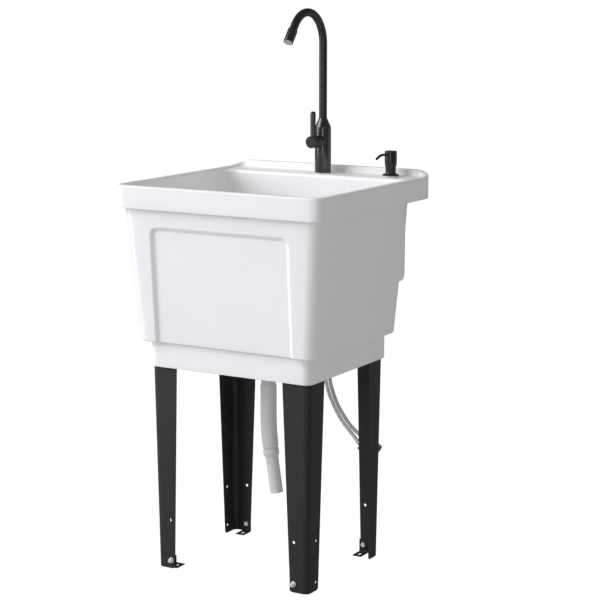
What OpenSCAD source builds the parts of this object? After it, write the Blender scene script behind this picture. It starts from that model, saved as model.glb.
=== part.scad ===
// Free-standing laundry tub on four angle-steel legs, with a high-arc mixer, a soap pump and a drain.
// Millimetres. +X is right, -Y is the front, +Z is up. The origin is on the floor under the rim's centre.

/* [Rim] */
// Height of the side rim above the floor
rim_height = 880; // [800:5:960]
// Width of the tub across the rim
rim_width = 528; // [500:2:620]
// Depth of the tub across the rim
rim_depth = 518; // [490:2:600]
// Height of the band that hangs from the rim's top
rim_band = 51; // [36:1:70]
// Width of the flat top of the rim
rim_ledge = 14; // [11:0.5:20]
// Rounding of the rim's outer top edge
rim_round = 6; // [2:0.5:8]
// Rounding of the rim's inner top edge
rim_inner_round = 3; // [1:0.5:3]
// Rounding of the band's lower edge
rim_foot_round = 2; // [1:0.5:3]
// Corner radius of the rim, seen from above
rim_corner = 30; // [22:1:45]
// Corner radius of the rim's inner edge, seen from above
rim_inner_corner = 16; // [10:1:24]

/* [Back deck] */
// Drop from the side rim to the deck
deck_drop = 3; // [3:0.5:6]
// Fall of the deck towards the basin
deck_fall = 1.5; // [0.5:0.5:3]
// Thickness of the deck plate
deck_thick = 6; // [4:0.5:8]
// Reach of the deck behind the body's back wall
deck_overhang = 70; // [64:1:90]
// Rounding of the deck's front edge
deck_edge_round = 8; // [4:0.5:12]
// Height of the raised back lip over the side rim
lip_rise = 13; // [4:1:24]
// Length of the lip's ramp before the back corner
lip_lead = 17; // [8:1:30]
// Length of the lip's ramp behind the back corner
lip_run = 18; // [8:1:30]
// Thickness of the apron round the open space under the deck
apron_thick = 5; // [3:0.5:8]
// Extra wall between the body and the space under the deck
tray_wall = 1; // [0.5:0.5:2]

/* [Body] */
// Height of the tapered body under the rim
body_height = 300; // [270:5:340]
// Step from the rim's face in to the body
rim_step = 12.5; // [9:0.5:18]
// Taper of each side wall from top to bottom
side_taper = 23.5; // [12:0.5:34]
// Taper of the front wall from top to bottom
front_taper = 20.5; // [12:0.5:30]
// Taper of the back wall from top to bottom
back_taper = 16.5; // [12:0.5:26]
// Corner radius of the body, seen from above
body_corner = 29; // [22:1:40]
// Rounding of the body's bottom edge
body_foot_round = 5; // [2:0.5:8]
// Wall thickness of the body
wall = 5.5; // [4:0.5:8]
// Width of the cove that flares out under the rim
cove_width = 7; // [3:0.5:8]
// Height of the cove that flares out under the rim
cove_height = 14; // [8:1:24]
// Height of the bump-out at the back, from the rim band down
bump_height = 181; // [150:1:210]
// Reach of the bump-out behind the top of the sloping back wall
bump_reach = 11; // [8:0.5:14]
// Rounding of the bump-out's bottom edge
bump_round = 14; // [11:0.5:15]
// Corner radius of the bump-out's lower end, seen from above
bump_corner = 21; // [18:1:28]
// Corner radius of the body's back corners at the rim, seen from above
back_corner = 42; // [32:1:46]
// Height over which the bump-out's corners widen
bump_widening = 115; // [80:5:150]

/* [Basin] */
// Thickness of the basin floor at the walls
floor_thick = 8; // [6:0.5:12]
// Fall of the basin floor towards the drain
floor_fall = 4; // [1:0.5:4]
// Rounding between the basin's walls and floor
basin_foot_round = 22; // [12:1:30]
// Width of the level dish round the drain
dish_width = 100; // [90:2:130]
// Corner radius of the dish round the drain
dish_corner = 30; // [20:1:40]
// Width of the slope at the dish's edge
dish_slope = 10; // [6:1:16]

/* [Front panel] */
// Width of the recessed front panel
panel_width = 346; // [280:2:370]
// Drop from the rim band to the panel's top edge
panel_drop = 43; // [30:1:80]
// Depth of the recessed front panel
panel_depth = 7; // [3:0.5:9]
// Width of the panel's sloping edge
panel_edge = 6; // [3:0.5:9]
// Corner radius of the panel
panel_corner = 18; // [12:1:30]

/* [Skirt] */
// Height of the skirt under the body
skirt_height = 59; // [50:1:75]
// Step from the body's bottom edge in to the skirt's sides
skirt_side_inset = 20; // [14:0.5:26]
// Step from the body's bottom edge in to the skirt's front
skirt_front_inset = 18; // [14:0.5:26]
// Step from the body's bottom edge in to the skirt's back
skirt_back_inset = 13.5; // [12:0.5:22]
// Wall thickness of the skirt
skirt_wall = 3; // [2:0.5:3]
// Corner radius of the skirt
skirt_corner = 20; // [18:1:21]
// Inner corner radius of the skirt
skirt_inner_corner = 14.5; // [12:0.5:14.5]
// Rounding of the skirt's bottom edge
skirt_edge_round = 1; // [0.5:0.25:1.25]
// Wall thickness of the leg sockets
socket_wall = 3; // [2:0.5:5]
// Height of the sockets' lower edge above the skirt's
socket_recess = 6; // [2:1:15]

/* [Legs] */
// Step from the skirt's side in to the leg
leg_side_inset = 4.1; // [4:0.1:8]
// Step from the skirt's front in to the leg
leg_front_inset = 5.3; // [5:0.1:9]
// Step from the skirt's back in to the leg
leg_back_inset = 12.7; // [5:0.1:16]
// Lean of each leg towards the middle, in degrees
leg_lean = 0.73; // [0:0.01:0.8]
// Thickness of the leg's steel
leg_thick = 2; // [1.5:0.5:3]
// Outer bend radius of the leg
leg_bend = 14; // [13:0.5:16]
// Width of each leg flange at the skirt
leg_width = 66.7; // [60:0.1:74]
// Width of each leg flange at the floor
leg_foot_width = 45; // [42:0.1:56]
// Rounding of the leg's toes
toe_round = 5; // [2:0.5:8]
// Diameter of the holes in the legs
leg_hole = 7; // [6.6:0.1:9]
// Height of the upper holes above the floor
high_hole_height = 114; // [60:1:200]
// Height of the lower holes above the floor
low_hole_height = 18.7; // [16:0.1:22]
// Distance of the front and back holes from the leg's corner
face_hole_reach = 36.5; // [28:0.5:38]
// Distance of the side holes from the leg's corner
side_hole_reach = 35.5; // [28:0.5:38]

/* [Feet] */
// Width of a foot bracket
foot_width = 22; // [18:1:24]
// Length of a foot bracket's floor plate
foot_length = 35; // [28:1:50]
// Height of a foot bracket
foot_rise = 32; // [28:1:45]
// Thickness of a foot bracket
foot_thick = 2; // [1.5:0.5:3]
// Outer bend radius of a foot bracket
foot_bend = 4; // [3:0.5:6]
// Width of the slot in the floor plate
slot_width = 7; // [5:0.5:9]
// Length of the slot in the floor plate
slot_length = 16; // [12:1:20]
// Distance from the bracket's upright to the slot's middle
slot_reach = 20; // [18:1:24]
// Diameter of the foot bolts
bolt_size = 6; // [5:0.5:6]
// Width across the flats of bolt heads and nuts
hex_width = 10; // [9:0.5:12]
// Thickness of a bolt head
bolt_head = 4; // [3:0.5:5]
// Thickness of a foot nut
foot_nut = 5; // [4:0.5:6]
// Reach of the bolts outside the leg
bolt_reach = 10; // [8:0.5:14]
// Diameter of the washers
washer_size = 13; // [11:0.5:16]
// Thickness of the washers
washer_thick = 1.2; // [0.8:0.1:2]

/* [Mixer] */
// Distance from the rim's back face to the mixer's axis
mixer_back = 47; // [44:1:48]
// Diameter of the mixer's body
mixer_size = 38; // [35:0.5:42]
// Height of the mixer's body
mixer_height = 105.5; // [92:0.5:130]
// Height of the cone on top of the mixer's body
cone_height = 22; // [14:1:36]
// Thickness of the seal under the mixer
mixer_seal = 1; // [0.6:0.1:2]
// Diameter of the spout's tube
spout_size = 18.6; // [16:0.2:22]
// Wall thickness of the spout's tube
spout_wall = 1.5; // [1:0.1:2]
// Radius of the spout's arc, at the middle of the tube
spout_radius = 72; // [60:1:90]
// Height of the arc's centre above the deck
spout_height = 300; // [240:5:380]
// Turn of the spout's arc, in degrees
spout_turn = 142; // [120:1:165]
// Straight length after the spout's arc
spout_tip = 48; // [40:1:70]
// Diameter of the sleeve at the spout's end
sleeve_size = 22.3; // [20:0.1:26]
// Length of the sleeve at the spout's end
sleeve_length = 34; // [22:1:38]
// Thickness of the water outlet insert
outlet_thick = 4; // [3:0.5:6]
// Diameter of the outlet insert's holes
outlet_hole = 2.4; // [1.5:0.1:3]

/* [Lever] */
// Diameter of the mixer's barrel and cap
barrel_size = 28; // [26:0.5:32]
// Height of the barrel's axis above the deck
barrel_height = 75.3; // [62:0.1:80]
// Distance from the mixer's axis to the end of the fixed barrel
barrel_reach = 37; // [34:0.5:44]
// Length of the cap in front of the barrel
cap_length = 19.7; // [17:0.1:28]
// Diameter of the lever's rod
rod_size = 12.6; // [9:0.1:13]
// Distance from the cap's front face to the rod's axis
rod_back = 10.4; // [8:0.1:11]
// Height of the rod's top above the barrel's axis
rod_height = 70.5; // [50:0.5:95]
// Rounding of the rod's top
rod_round = 5; // [2:0.5:5.5]
// Travel of the lever towards the front, in degrees
lever_travel = 20; // [10:1:20]
// Diameter of the cartridge
cartridge_size = 22; // [20:0.5:23]
// Length of the cartridge
cartridge_length = 24; // [18:0.5:26]
// Length of the ring that holds the cartridge
ring_length = 4; // [3:0.5:6]
// Diameter of the mixer's stem
stem_size = 9; // [7:0.5:10]
// Diameter of the stem's cross pin
pin_size = 3; // [2:0.5:3.5]

/* [Mixer mounting] */
// Outer diameter of the threaded shank
shank_size = 32.6; // [30:0.1:34]
// Bore of the threaded shank
shank_bore = 27; // [26:0.1:28]
// Length of the shank below the deck
shank_drop = 41; // [30:1:60]
// Depth of the shank inside the mixer's body
shank_socket = 6; // [4:0.5:10]
// Diameter of the hole in the deck for the mixer
mixer_hole = 35; // [34.2:0.1:36]
// Diameter of the washer under the deck
shank_washer = 42; // [39:0.5:43]
// Thickness of the washer under the deck
shank_washer_thick = 3; // [2:0.5:5]
// Width across the flats of the shank's nut
shank_nut_width = 38; // [36:0.5:40]
// Thickness of the shank's nut
shank_nut_thick = 10; // [6:0.5:14]

/* [Supply hoses] */
// Diameter of the braided hoses
hose_size = 9; // [8:0.5:9.5]
// Diameter of the crimped sleeves
ferrule_size = 11; // [10:0.5:11.5]
// Length of the crimped sleeves at the lower ends
ferrule_length = 12; // [8:1:16]
// Diameter of the hose nuts across their flats
hose_nut_width = 23; // [20:0.5:23]
// Length of the hose nuts
hose_nut_length = 16; // [12:1:18]
// Bore of the hose nuts
hose_nut_bore = 19; // [16:0.5:19]
// Depth of the bore in the hose nuts
hose_nut_depth = 12; // [8:1:13]

/* [Soap pump] */
// Distance of the pump from the rim's right side
pump_inset = 86; // [74:1:114]
// Distance from the rim's back face to the pump's axis
pump_back = 45; // [42:1:46]
// Diameter of the pump's flange
flange_size = 39; // [32:0.5:46]
// Height of the pump's flange
flange_height = 7.2; // [5:0.2:8]
// Thickness of the seal under the pump's flange
flange_seal = 0.8; // [0.5:0.1:1.5]
// Diameter of the pump's neck
neck_size = 24; // [23:0.5:24]
// Height of the pump's neck above its flange
neck_height = 15; // [13:0.5:22]
// Diameter of the pump's head
head_size = 28; // [27:0.5:32]
// Height of the pump's head
head_height = 36; // [30:1:46]
// Wall thickness of the pump's head
head_wall = 1.4; // [1:0.1:1.4]
// Chamfer at the lower edge of the pump's head
head_chamfer = 1.2; // [0.6:0.1:1.3]
// Travel of the pump's head
pump_travel = 12; // [8:1:12]
// Diameter of the nozzle
nozzle_size = 6; // [5:0.2:8]
// Bore of the nozzle
nozzle_bore = 3; // [2:0.2:4]
// Height of the nozzle's root above the head's lower edge
nozzle_height = 28.4; // [20:0.2:29]
// Reach of the nozzle's straight part from the pump's axis
nozzle_reach = 50; // [36:1:64]
// Rise of the nozzle's straight part, in degrees
nozzle_rise = 3; // [0:0.5:8]
// Length of the nozzle's drooping end
nozzle_end = 21; // [12:1:30]
// Droop of the nozzle's end, in degrees
nozzle_droop = 21.5; // [10:0.5:40]
// Diameter of the pump's threaded tube
tube_size = 23; // [22:0.5:23]
// Length of the threaded tube below the deck
tube_drop = 26; // [20:1:36]
// Diameter of the hole in the deck for the pump
pump_hole = 25; // [24.2:0.1:28]
// Width across the flats of the pump's nut
pump_nut_width = 34; // [30:0.5:36]
// Thickness of the pump's nut
pump_nut_thick = 9; // [6:0.5:10]
// Diameter of the pump's barrel
pump_size = 18.6; // [17:0.1:18.6]
// Diameter of the pump's lower barrel
pump_foot_size = 15.6; // [14:0.1:15.6]
// Length of the pump's lower barrel
pump_foot_length = 50; // [40:1:70]
// Diameter of the pump's stem
piston_rod = 7; // [5:0.5:8]
// Diameter of the suction tube
suction_size = 6; // [4:0.5:7]
// Diameter of the soap bottle
bottle_size = 46; // [40:1:46]
// Height of the soap bottle below its shoulder
bottle_height = 98; // [80:1:150]
// Wall thickness of the soap bottle
bottle_wall = 1.5; // [1:0.1:2.5]

/* [Drain] */
// Distance from the tub's middle forward to the drain
drain_forward = 35; // [20:1:60]
// Diameter of the strainer's flange
strainer_size = 82; // [74:1:88]
// Thickness of the strainer's flange
strainer_lip = 2.5; // [1.5:0.5:4]
// Inner diameter of the strainer's bowl
bowl_size = 44; // [40:0.5:46]
// Wall thickness of the strainer's bowl
bowl_wall = 1; // [0.8:0.1:1.5]
// Depth of the strainer's bowl below the basin floor
bowl_depth = 34; // [30:1:40]
// Length of the threaded tube below the basin floor
bowl_thread = 53; // [48:1:56]
// Diameter of the seal under the basin floor
drain_seal_size = 74; // [66:1:80]
// Thickness of the seal under the basin floor
drain_seal = 3; // [2:0.5:4]
// Diameter of the drain's locknut
locknut_size = 70; // [62:1:78]
// Thickness of the drain's locknut
locknut_thick = 10; // [8:0.5:12]
// Diameter of the tailpiece
tail_size = 33; // [30:0.2:33]
// Wall thickness of the drain's tubes
tail_wall = 1.2; // [0.9:0.1:1.4]
// Diameter of the tailpiece's collar
tail_collar = 44; // [42:0.5:45]
// Thickness of the tailpiece's collar
collar_thick = 3; // [2:0.5:4]
// Diameter of the slip nut
slip_nut_size = 56; // [52:0.5:62]
// Height of the slip nut
slip_nut_height = 24; // [20:1:30]
// Thickness of the slip nut's inner lip
slip_lip = 4; // [3:0.5:6]

/* [Drain pipe] */
// Diameter of the drain pipe
pipe_size = 35.6; // [35.6:0.1:38]
// Wall thickness of the drain pipe
pipe_wall = 2; // [1.5:0.1:2.5]
// Drop from the skirt's lower edge to the drain pipe's upper end
pipe_below = 58; // [40:1:70]
// Depth of the drain pipe's socket
pipe_socket = 22; // [15:1:30]
// Length of the drain pipe's straight upper part
pipe_straight = 62; // [47:1:82]
// Radius of the drain pipe's bend
pipe_bend = 600; // [450:10:900]
// Turn of the drain pipe's bend, in degrees
pipe_turn = 8.9; // [4:0.1:10]
// Diameter of the coupling ring
coupling_size = 37.6; // [37.6:0.1:42]
// Length of the coupling ring
coupling_length = 24; // [18:1:30]
// Rounding of the coupling ring
coupling_round = 3; // [1.5:0.5:3]
// Diameter of the drain outlet
outlet_size = 29.2; // [26:0.2:30]
// Length of the drain outlet below the coupling
outlet_length = 68; // [40:1:90]

/* [Fits] */
// Gap between pieces that are screwed together
seat_gap = 0.1; // [0.05:0.05:0.2]
// Radial play of the turning and sliding fits
running_gap = 0.05; // [0.03:0.01:0.1]
// Gap between the legs and their sockets
socket_gap = 0.3; // [0.3:0.05:0.6]
// Slack under the foot bolts' heads for the legs' lean
bolt_slack = 0.5; // [0.5:0.05:0.8]
// Chamfer on small edges
edge = 0.6; // [0.3:0.1:0.8]
// Overrun of cuts past the faces that they open
overrun = 1; // [0.5:0.1:1.5]

/* [Hidden] */
$fn = 64;
corner_steps = 8;
hose_sides = 8;
corner_names = ["front_left", "front_right", "back_left", "back_right"];

// Levels, from the floor up
band_z = rim_height - rim_band;
deck_z = rim_height - deck_drop;
deck_under = deck_z - deck_thick;
body_z = band_z - body_height;
skirt_z = body_z - skirt_height;
bump_z = band_z - bump_height;
floor_z = body_z + floor_thick;
drain_z = floor_z - floor_fall;

// Half sizes and faces at the rim and the top of the body
rim_x = rim_width / 2;
rim_y = rim_depth / 2;
body_back = rim_y - deck_overhang;

// The tapered walls: half width, front face and back face at a height
function taper_at(z) = (band_z - z) / body_height;
function side_at(z) = rim_x - rim_step - side_taper * taper_at(z);
function front_at(z) = -(rim_y - rim_step - front_taper * taper_at(z));
function slope_at(z) = body_back - bump_reach - back_taper * taper_at(z);

skirt_x = side_at(body_z) - skirt_side_inset;
skirt_front = front_at(body_z) + skirt_front_inset;
skirt_back = slope_at(body_z) - skirt_back_inset;
skirt_in_x = skirt_x - skirt_wall;
skirt_in_front = skirt_front + skirt_wall;
skirt_in_back = skirt_back - skirt_wall;

// The bump-out's rounded bottom edge, and the radius of its upright corners, which widens upwards
bump_centre = body_back - bump_round;
inner_bump = bump_round - wall;
function bump_corner_at(z) = bump_corner + (back_corner - bump_corner) * min(1, (z - bump_z) / bump_widening);

// Legs
leg_x = skirt_x - leg_side_inset;
leg_rise = body_z - skirt_z - seat_gap;
lean_shift = skirt_z * tan(leg_lean);
function leg_inset(back) = back ? leg_back_inset : leg_front_inset;
function leg_y(back) = (back ? skirt_back : -skirt_front) - leg_inset(back);
function flange_at(z) = leg_width + (leg_width - leg_foot_width) * z / skirt_z;

// Mixer
mixer_y = rim_y - mixer_back;
mixer_z = deck_z + mixer_seal;
cone_z = deck_z + mixer_height;
barrel_z = deck_z + barrel_height;
barrel_y = mixer_y - barrel_reach;
cap_y = barrel_y - cap_length - seat_gap;
rod_y = cap_y + rod_back;
lever_y = barrel_y - pin_size;
shank_top = mixer_z + shank_socket;

// Soap pump
pump_x = rim_x - pump_inset;
pump_y = rim_y - pump_back;
flange_z = deck_z + flange_seal;
neck_z = flange_z + flange_height;
head_z = neck_z + neck_height;
tube_z = deck_under - tube_drop;

// Drain
strainer_z = drain_z + seat_gap;
thread_z = drain_z - bowl_thread;
thread_size = bowl_size + 2 * bowl_wall;
collar_z = thread_z - drain_seal - collar_thick;
pipe_top = skirt_z - pipe_below;
pipe_bend_height = pipe_top - pipe_straight;
spigot_size = outlet_size - 2 * edge;
pipe_drop = pipe_bend * sin(pipe_turn);
pipe_shift = pipe_bend * (1 - cos(pipe_turn));

// Routes of the two hoses, from the mixer's tails to the sleeves at their ends
hot_route = [
    [-6, 212, 862], [-6, 212, 838], [-6, 212, 812], [-6, 212, 786], [-6, 212, 760], [-6, 212, 734],
    [-5, 211, 708], [-5, 211, 682], [-4, 210, 656], [-4, 209, 630], [-3, 208, 604], [-2, 207, 578],
    [0, 206, 552], [1, 206, 526], [3, 205, 500], [5, 204, 474], [7, 204, 448], [9, 203, 424],
    [12, 203, 400], [16, 203, 376], [23, 203, 352], [33, 203, 330], [44, 203, 310], [57, 203, 291],
    [72, 203, 274], [87, 203, 259], [102, 203, 244]
];
cold_route = [
    [6, 212, 862], [6, 212, 838], [6, 212, 812], [6, 212, 786], [6, 212, 760], [6, 212, 734],
    [6, 213, 708], [7, 213, 682], [7, 213, 656], [8, 213, 630], [8, 214, 604], [9, 214, 578],
    [10, 214, 552], [11, 214, 526], [12, 214, 500], [13, 214, 474], [14, 214, 448], [16, 214, 424],
    [18, 214, 400], [21, 214, 376], [28, 214, 353], [37, 214, 332], [48, 214, 312], [62, 214, 293],
    [78, 214, 275], [95, 214, 261], [112, 214, 249], [129, 214, 240]
];

// Position along the ramp of a back corner's points, as shares of the ramp: side, corner, back
ramp_length = lip_lead + rim_corner * PI / 2 + lip_run;
straight_shares = [1, 2 / 3, 1 / 3];
ramp_steps = concat(
    [for (s = straight_shares) lip_lead * (1 - s) / ramp_length],
    [for (i = [0 : corner_steps]) (lip_lead + rim_corner * PI / 2 * i / corner_steps) / ramp_length],
    [for (s = straight_shares) (lip_lead + rim_corner * PI / 2 + lip_run * (4 / 3 - s)) / ramp_length]
);
function smooth(t) = t * t * (3 - 2 * t);
function reversed(list) = [for (i = [len(list) - 1 : -1 : 0]) list[i]];
lip_weights = concat(
    [for (t = ramp_steps) smooth(t)],
    reversed([for (t = ramp_steps) smooth(t)]),
    [for (i = [0 : 2 * corner_steps + 1]) 0]
);

// One ring of the moulding: a rounded rectangle from front y0 to back y1, raised by its share of the lip
function arc(cx, cy, r, from) = [
    for (i = [0 : corner_steps])
        let (a = from + 90 * i / corner_steps)
        [cx + r * cos(a), cy + r * sin(a)]
];
function ring_outline(hw, y0, y1, r, back_r) =
    let (lead = min(lip_lead, (y1 - y0 - r - back_r) / 3), run = min(lip_run, (hw - back_r) / 2))
    concat(
        [for (s = straight_shares) [hw, y1 - back_r - lead * s]],
        arc(hw - back_r, y1 - back_r, back_r, 0),
        [for (s = straight_shares) [hw - back_r - run * (4 / 3 - s), y1]],
        [for (s = reversed(straight_shares)) [-(hw - back_r - run * (4 / 3 - s)), y1]],
        arc(-(hw - back_r), y1 - back_r, back_r, 90),
        [for (s = reversed(straight_shares)) [-hw, y1 - back_r - lead * s]],
        arc(-(hw - r), y0 + r, r, 180),
        arc(hw - r, y0 + r, r, 270)
    );
function ring(hw, y0, y1, r, z, rise = 0, back_r = 0) =
    let (outline = ring_outline(hw, y0, y1, r, back_r > 0 ? back_r : r))
    [for (i = [0 : len(outline) - 1]) [outline[i].x, outline[i].y, z + rise * lip_weights[i]]];

// A closed skin over a stack of rings, with a flat cap at each end; each cap's faces fan out from a corner
cap_start = len(straight_shares) + corner_steps / 2;
module loft(rings) {
    n = len(rings[0]);
    last = len(rings) - 1;
    points = [for (r = rings) each r];
    sides = [
        for (k = [0 : last - 1], i = [0 : n - 1])
            let (a = k * n + i, b = k * n + (i + 1) % n)
            each [[a, a + n, b], [b, a + n, b + n]]
    ];
    start_cap = [for (i = [0 : n - 1]) (i + cap_start) % n];
    end_cap = [for (i = [n - 1 : -1 : 0]) last * n + (i + cap_start) % n];
    polyhedron(points = points, faces = concat([start_cap], sides, [end_cap]), convexity = 8);
}

// Rings of the moulding, in the order of its section: under the floor, skirt, body, rim, deck, basin
quarter_steps = [0, 30, 60, 90];
skirt_rings = concat(
    [ring(skirt_in_x, skirt_in_front, skirt_in_back, skirt_inner_corner, body_z)],
    [ring(skirt_in_x, skirt_in_front, skirt_in_back, skirt_inner_corner, skirt_z)],
    [for (a = quarter_steps)
        let (in = skirt_edge_round * (1 - sin(a)), up = skirt_edge_round * (1 - cos(a)))
        ring(skirt_x - in, skirt_front + in, skirt_back - in, skirt_corner - in, skirt_z + up)],
    [ring(skirt_x, skirt_front, skirt_back, skirt_corner, body_z)]
);
function body_ring(z, back, corner, out = 0) =
    ring(side_at(z) + out, front_at(z) - out, back, body_corner, z, 0, corner);
body_rings = concat(
    [for (a = quarter_steps)
        let (in = body_foot_round * (1 - sin(a)), z = body_z + body_foot_round * (1 - cos(a)))
        ring(side_at(z) - in, front_at(z) + in, slope_at(z) - in, body_corner, z)],
    [body_ring(bump_z, slope_at(bump_z), body_corner)],
    [for (a = [90, 60, 30, 0])
        let (z = bump_z + bump_round * (1 - sin(a)))
        body_ring(z, bump_centre + bump_round * cos(a), bump_corner_at(z))],
    [body_ring(bump_z + bump_widening, body_back, back_corner)],
    [for (a = [0, 22.5, 45, 67.5, 90])
        let (out = cove_width * (1 - cos(a)))
        body_ring(band_z - cove_height * (1 - sin(a)), body_back, back_corner + 2 * out, out)]
);
function rim_ring(in, z, rise) = ring(rim_x - in, -rim_y + in, rim_y - in, rim_corner - in, z, rise);
function rim_inner_ring(in, z) =
    ring(rim_x - in, -rim_y + in, rim_y - in, rim_inner_corner + rim_ledge - in, z, lip_rise);
rim_rings = concat(
    [for (a = [0, 45, 90])
        rim_ring(rim_foot_round * (1 - sin(a)), band_z + rim_foot_round * (1 - cos(a)), 0)],
    [for (a = [0, 22.5, 45, 67.5, 90])
        rim_ring(rim_round * (1 - cos(a)), rim_height - rim_round * (1 - sin(a)), lip_rise)],
    [for (a = [90, 60, 30])
        let (z = rim_height - rim_inner_round * (1 - sin(a)))
        rim_inner_ring(rim_ledge - rim_inner_round * (1 - cos(a)), z)],
    [ring(rim_x - rim_ledge, -rim_y + rim_ledge, rim_y - rim_ledge, rim_inner_corner, deck_z)]
);
function basin_ring(z, back, corner) =
    ring(side_at(z) - wall, front_at(z) + wall, back, body_corner - wall, z, 0, corner - wall);
mouth_z = deck_z - deck_fall;
deck_rings = [
    for (t = [0 : 4])
        let (a = 90 * t / 4)
        let (back = body_back - wall + deck_edge_round * (1 - sin(a)))
        basin_ring(mouth_z - deck_edge_round * (1 - cos(a)), back, back_corner)
];
basin_rings = concat(
    [basin_ring(bump_z + bump_widening, body_back - wall, back_corner)],
    [for (a = [0, 30, 60, 90])
        let (z = bump_z + bump_round - inner_bump * sin(a))
        basin_ring(z, bump_centre + inner_bump * cos(a), bump_corner_at(z))],
    [basin_ring(bump_z + wall, slope_at(bump_z + wall) - wall, body_corner)],
    [for (a = [0, 22.5, 45, 67.5, 90])
        let (in = basin_foot_round * (1 - cos(a)), z = floor_z + basin_foot_round * (1 - sin(a)))
        let (gap = wall + in)
        ring(side_at(z) - gap, front_at(z) + gap, slope_at(z) - gap, body_corner - wall, z)]
);
function dish_ring(half, z) = ring(half, -drain_forward - half, -drain_forward + half, dish_corner, z);
dish_rings = [
    dish_ring(dish_width / 2 + dish_slope, drain_z + floor_fall / 8),
    dish_ring(dish_width / 2, drain_z)
];

// The recessed front panel lies in the front wall's slope; at is its depth behind the wall's face
front_slope = atan(front_taper / body_height);
panel_top = (body_height - panel_drop) / cos(front_slope);
module panel_block(grow, near, far) {
    slope_share = panel_edge / panel_depth;
    near_r = panel_corner + grow - (near - grow) * slope_share;
    far_r = panel_corner + grow - (far - grow) * slope_share;
    centre_x = panel_width / 2 - panel_corner;
    translate([0, front_at(body_z), body_z])
    rotate([front_slope, 0, 0])
    hull()
        for (x = [-centre_x, centre_x], z = [-2 * panel_corner, panel_top - panel_corner])
            translate([x, near, z])
            rotate([-90, 0, 0])
            cylinder(h = far - near, r1 = near_r, r2 = far_r, $fn = 32);
}

// Inside the basin the wall follows the recess
module panel_pad() {
    intersection() {
        panel_block(wall, wall / 2, wall + panel_depth);
        translate([-rim_x, -rim_y, body_z + floor_thick / 2])
            cube([rim_width, rim_depth, body_height]);
    }
}

// A plate's outline with rounded corners, from exact circles and squares
module round_outline(hw, y0, y1, r) {
    translate([-hw + r, y0])
        square([2 * (hw - r), y1 - y0]);
    translate([-hw, y0 + r])
        square([2 * hw, y1 - y0 - 2 * r]);
    for (x = [-hw + r, hw - r], y = [y0 + r, y1 - r])
        translate([x, y])
            circle(r = r);
}

module tray_hollow() {
    corner = rim_corner - apron_thick;
    translate([0, 0, band_z - overrun])
        linear_extrude(height = deck_under - band_z + overrun)
            round_outline(rim_x - apron_thick, body_back + tray_wall, rim_y - apron_thick, corner);
}

// Ribs inside one corner of the skirt hold a leg's two flanges
module leg_socket(back) {
    reach = flange_at(leg_rise) + socket_gap;
    inner = leg_thick + socket_gap;
    rib_start = leg_bend + socket_gap;
    rib_length = reach + socket_wall - rib_start;
    rib_height = body_z - skirt_z - socket_recess + floor_thick / 2;
    face_gap = leg_inset(back) - skirt_wall / 2;
    side_gap = leg_side_inset - skirt_wall / 2;
    translate([leg_x, -leg_y(back), skirt_z + socket_recess]) {
        translate([-rib_start - rib_length, inner, 0])
            cube([rib_length, socket_wall, rib_height]);
        translate([-inner - socket_wall, rib_start, 0])
            cube([socket_wall, rib_length, rib_height]);
        translate([-reach - socket_wall, -face_gap, 0])
            cube([socket_wall, face_gap + inner + socket_wall, rib_height]);
        translate([-inner - socket_wall, reach, 0])
            cube([side_gap + inner + socket_wall, socket_wall, rib_height]);
    }
}

// Places its children at one of the four corners; they are drawn for the front right one
module at_corner(name) {
    left = name == "front_left" || name == "back_left";
    back = name == "back_left" || name == "back_right";
    if (left && back)
        rotate([0, 0, 180]) children();
    else if (left)
        mirror([1, 0, 0]) children();
    else if (back)
        mirror([0, 1, 0]) children();
    else
        children();
}
function is_back(name) = name == "back_left" || name == "back_right";

module tub() {
    color("white")
    difference() {
        union() {
            loft(concat(skirt_rings, body_rings, rim_rings, deck_rings, basin_rings, dish_rings));
            panel_pad();
            union()
                for (name = corner_names)
                    at_corner(name) leg_socket(is_back(name));
        }
        panel_block(0, -overrun, panel_depth);
        tray_hollow();
        translate([0, mixer_y, deck_under - overrun])
            cylinder(d = mixer_hole, h = deck_thick + 2 * overrun);
        translate([pump_x, pump_y, deck_under - overrun])
            cylinder(d = pump_hole, h = deck_thick + 2 * overrun);
        translate([0, -drain_forward, body_z - overrun])
            cylinder(d = thread_size + 2 * overrun, h = floor_thick + 2 * overrun);
    }
}

// Square with one rounded corner at the origin, reaching to -x and +y
module corner_block(w, r) {
    difference() {
        translate([-w, 0])
            square([w, w]);
        difference() {
            translate([-r, -overrun])
                square([r + overrun, r + overrun]);
            translate([-r, r])
                circle(r = r);
        }
    }
}

// A flange's tapered outline with a rounded toe: the leg's corner is x = 0, z = 0 is the skirt's edge
module flange_outline() {
    top = leg_rise + overrun;
    low = -skirt_z - overrun;
    toe_z = seat_gap - skirt_z;
    difference() {
        polygon([[overrun, low], [overrun, top], [-flange_at(top), top], [-flange_at(low), low]]);
        translate([-flange_at(toe_z), toe_z])
            difference() {
                translate([-2 * overrun, -2 * overrun])
                    square(toe_round + 2 * overrun);
                translate([toe_round, toe_round])
                    circle(r = toe_round);
            }
    }
}

module leaning(back) {
    translate([leg_x, -leg_y(back), skirt_z])
        rotate([leg_lean, leg_lean, 0])
            children();
}

// A hole through the front or back flange, drawn along Y
module face_hole(z, d) {
    translate([-face_hole_reach, leg_thick + foot_thick + 2 * overrun, z - skirt_z])
        rotate([90, 0, 0])
            cylinder(d = d, h = leg_thick + foot_thick + 4 * overrun);
}

module side_hole(z, d) {
    translate([-leg_thick - overrun, side_hole_reach, z - skirt_z])
        rotate([0, 90, 0])
            cylinder(d = d, h = leg_thick + 2 * overrun);
}

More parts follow.
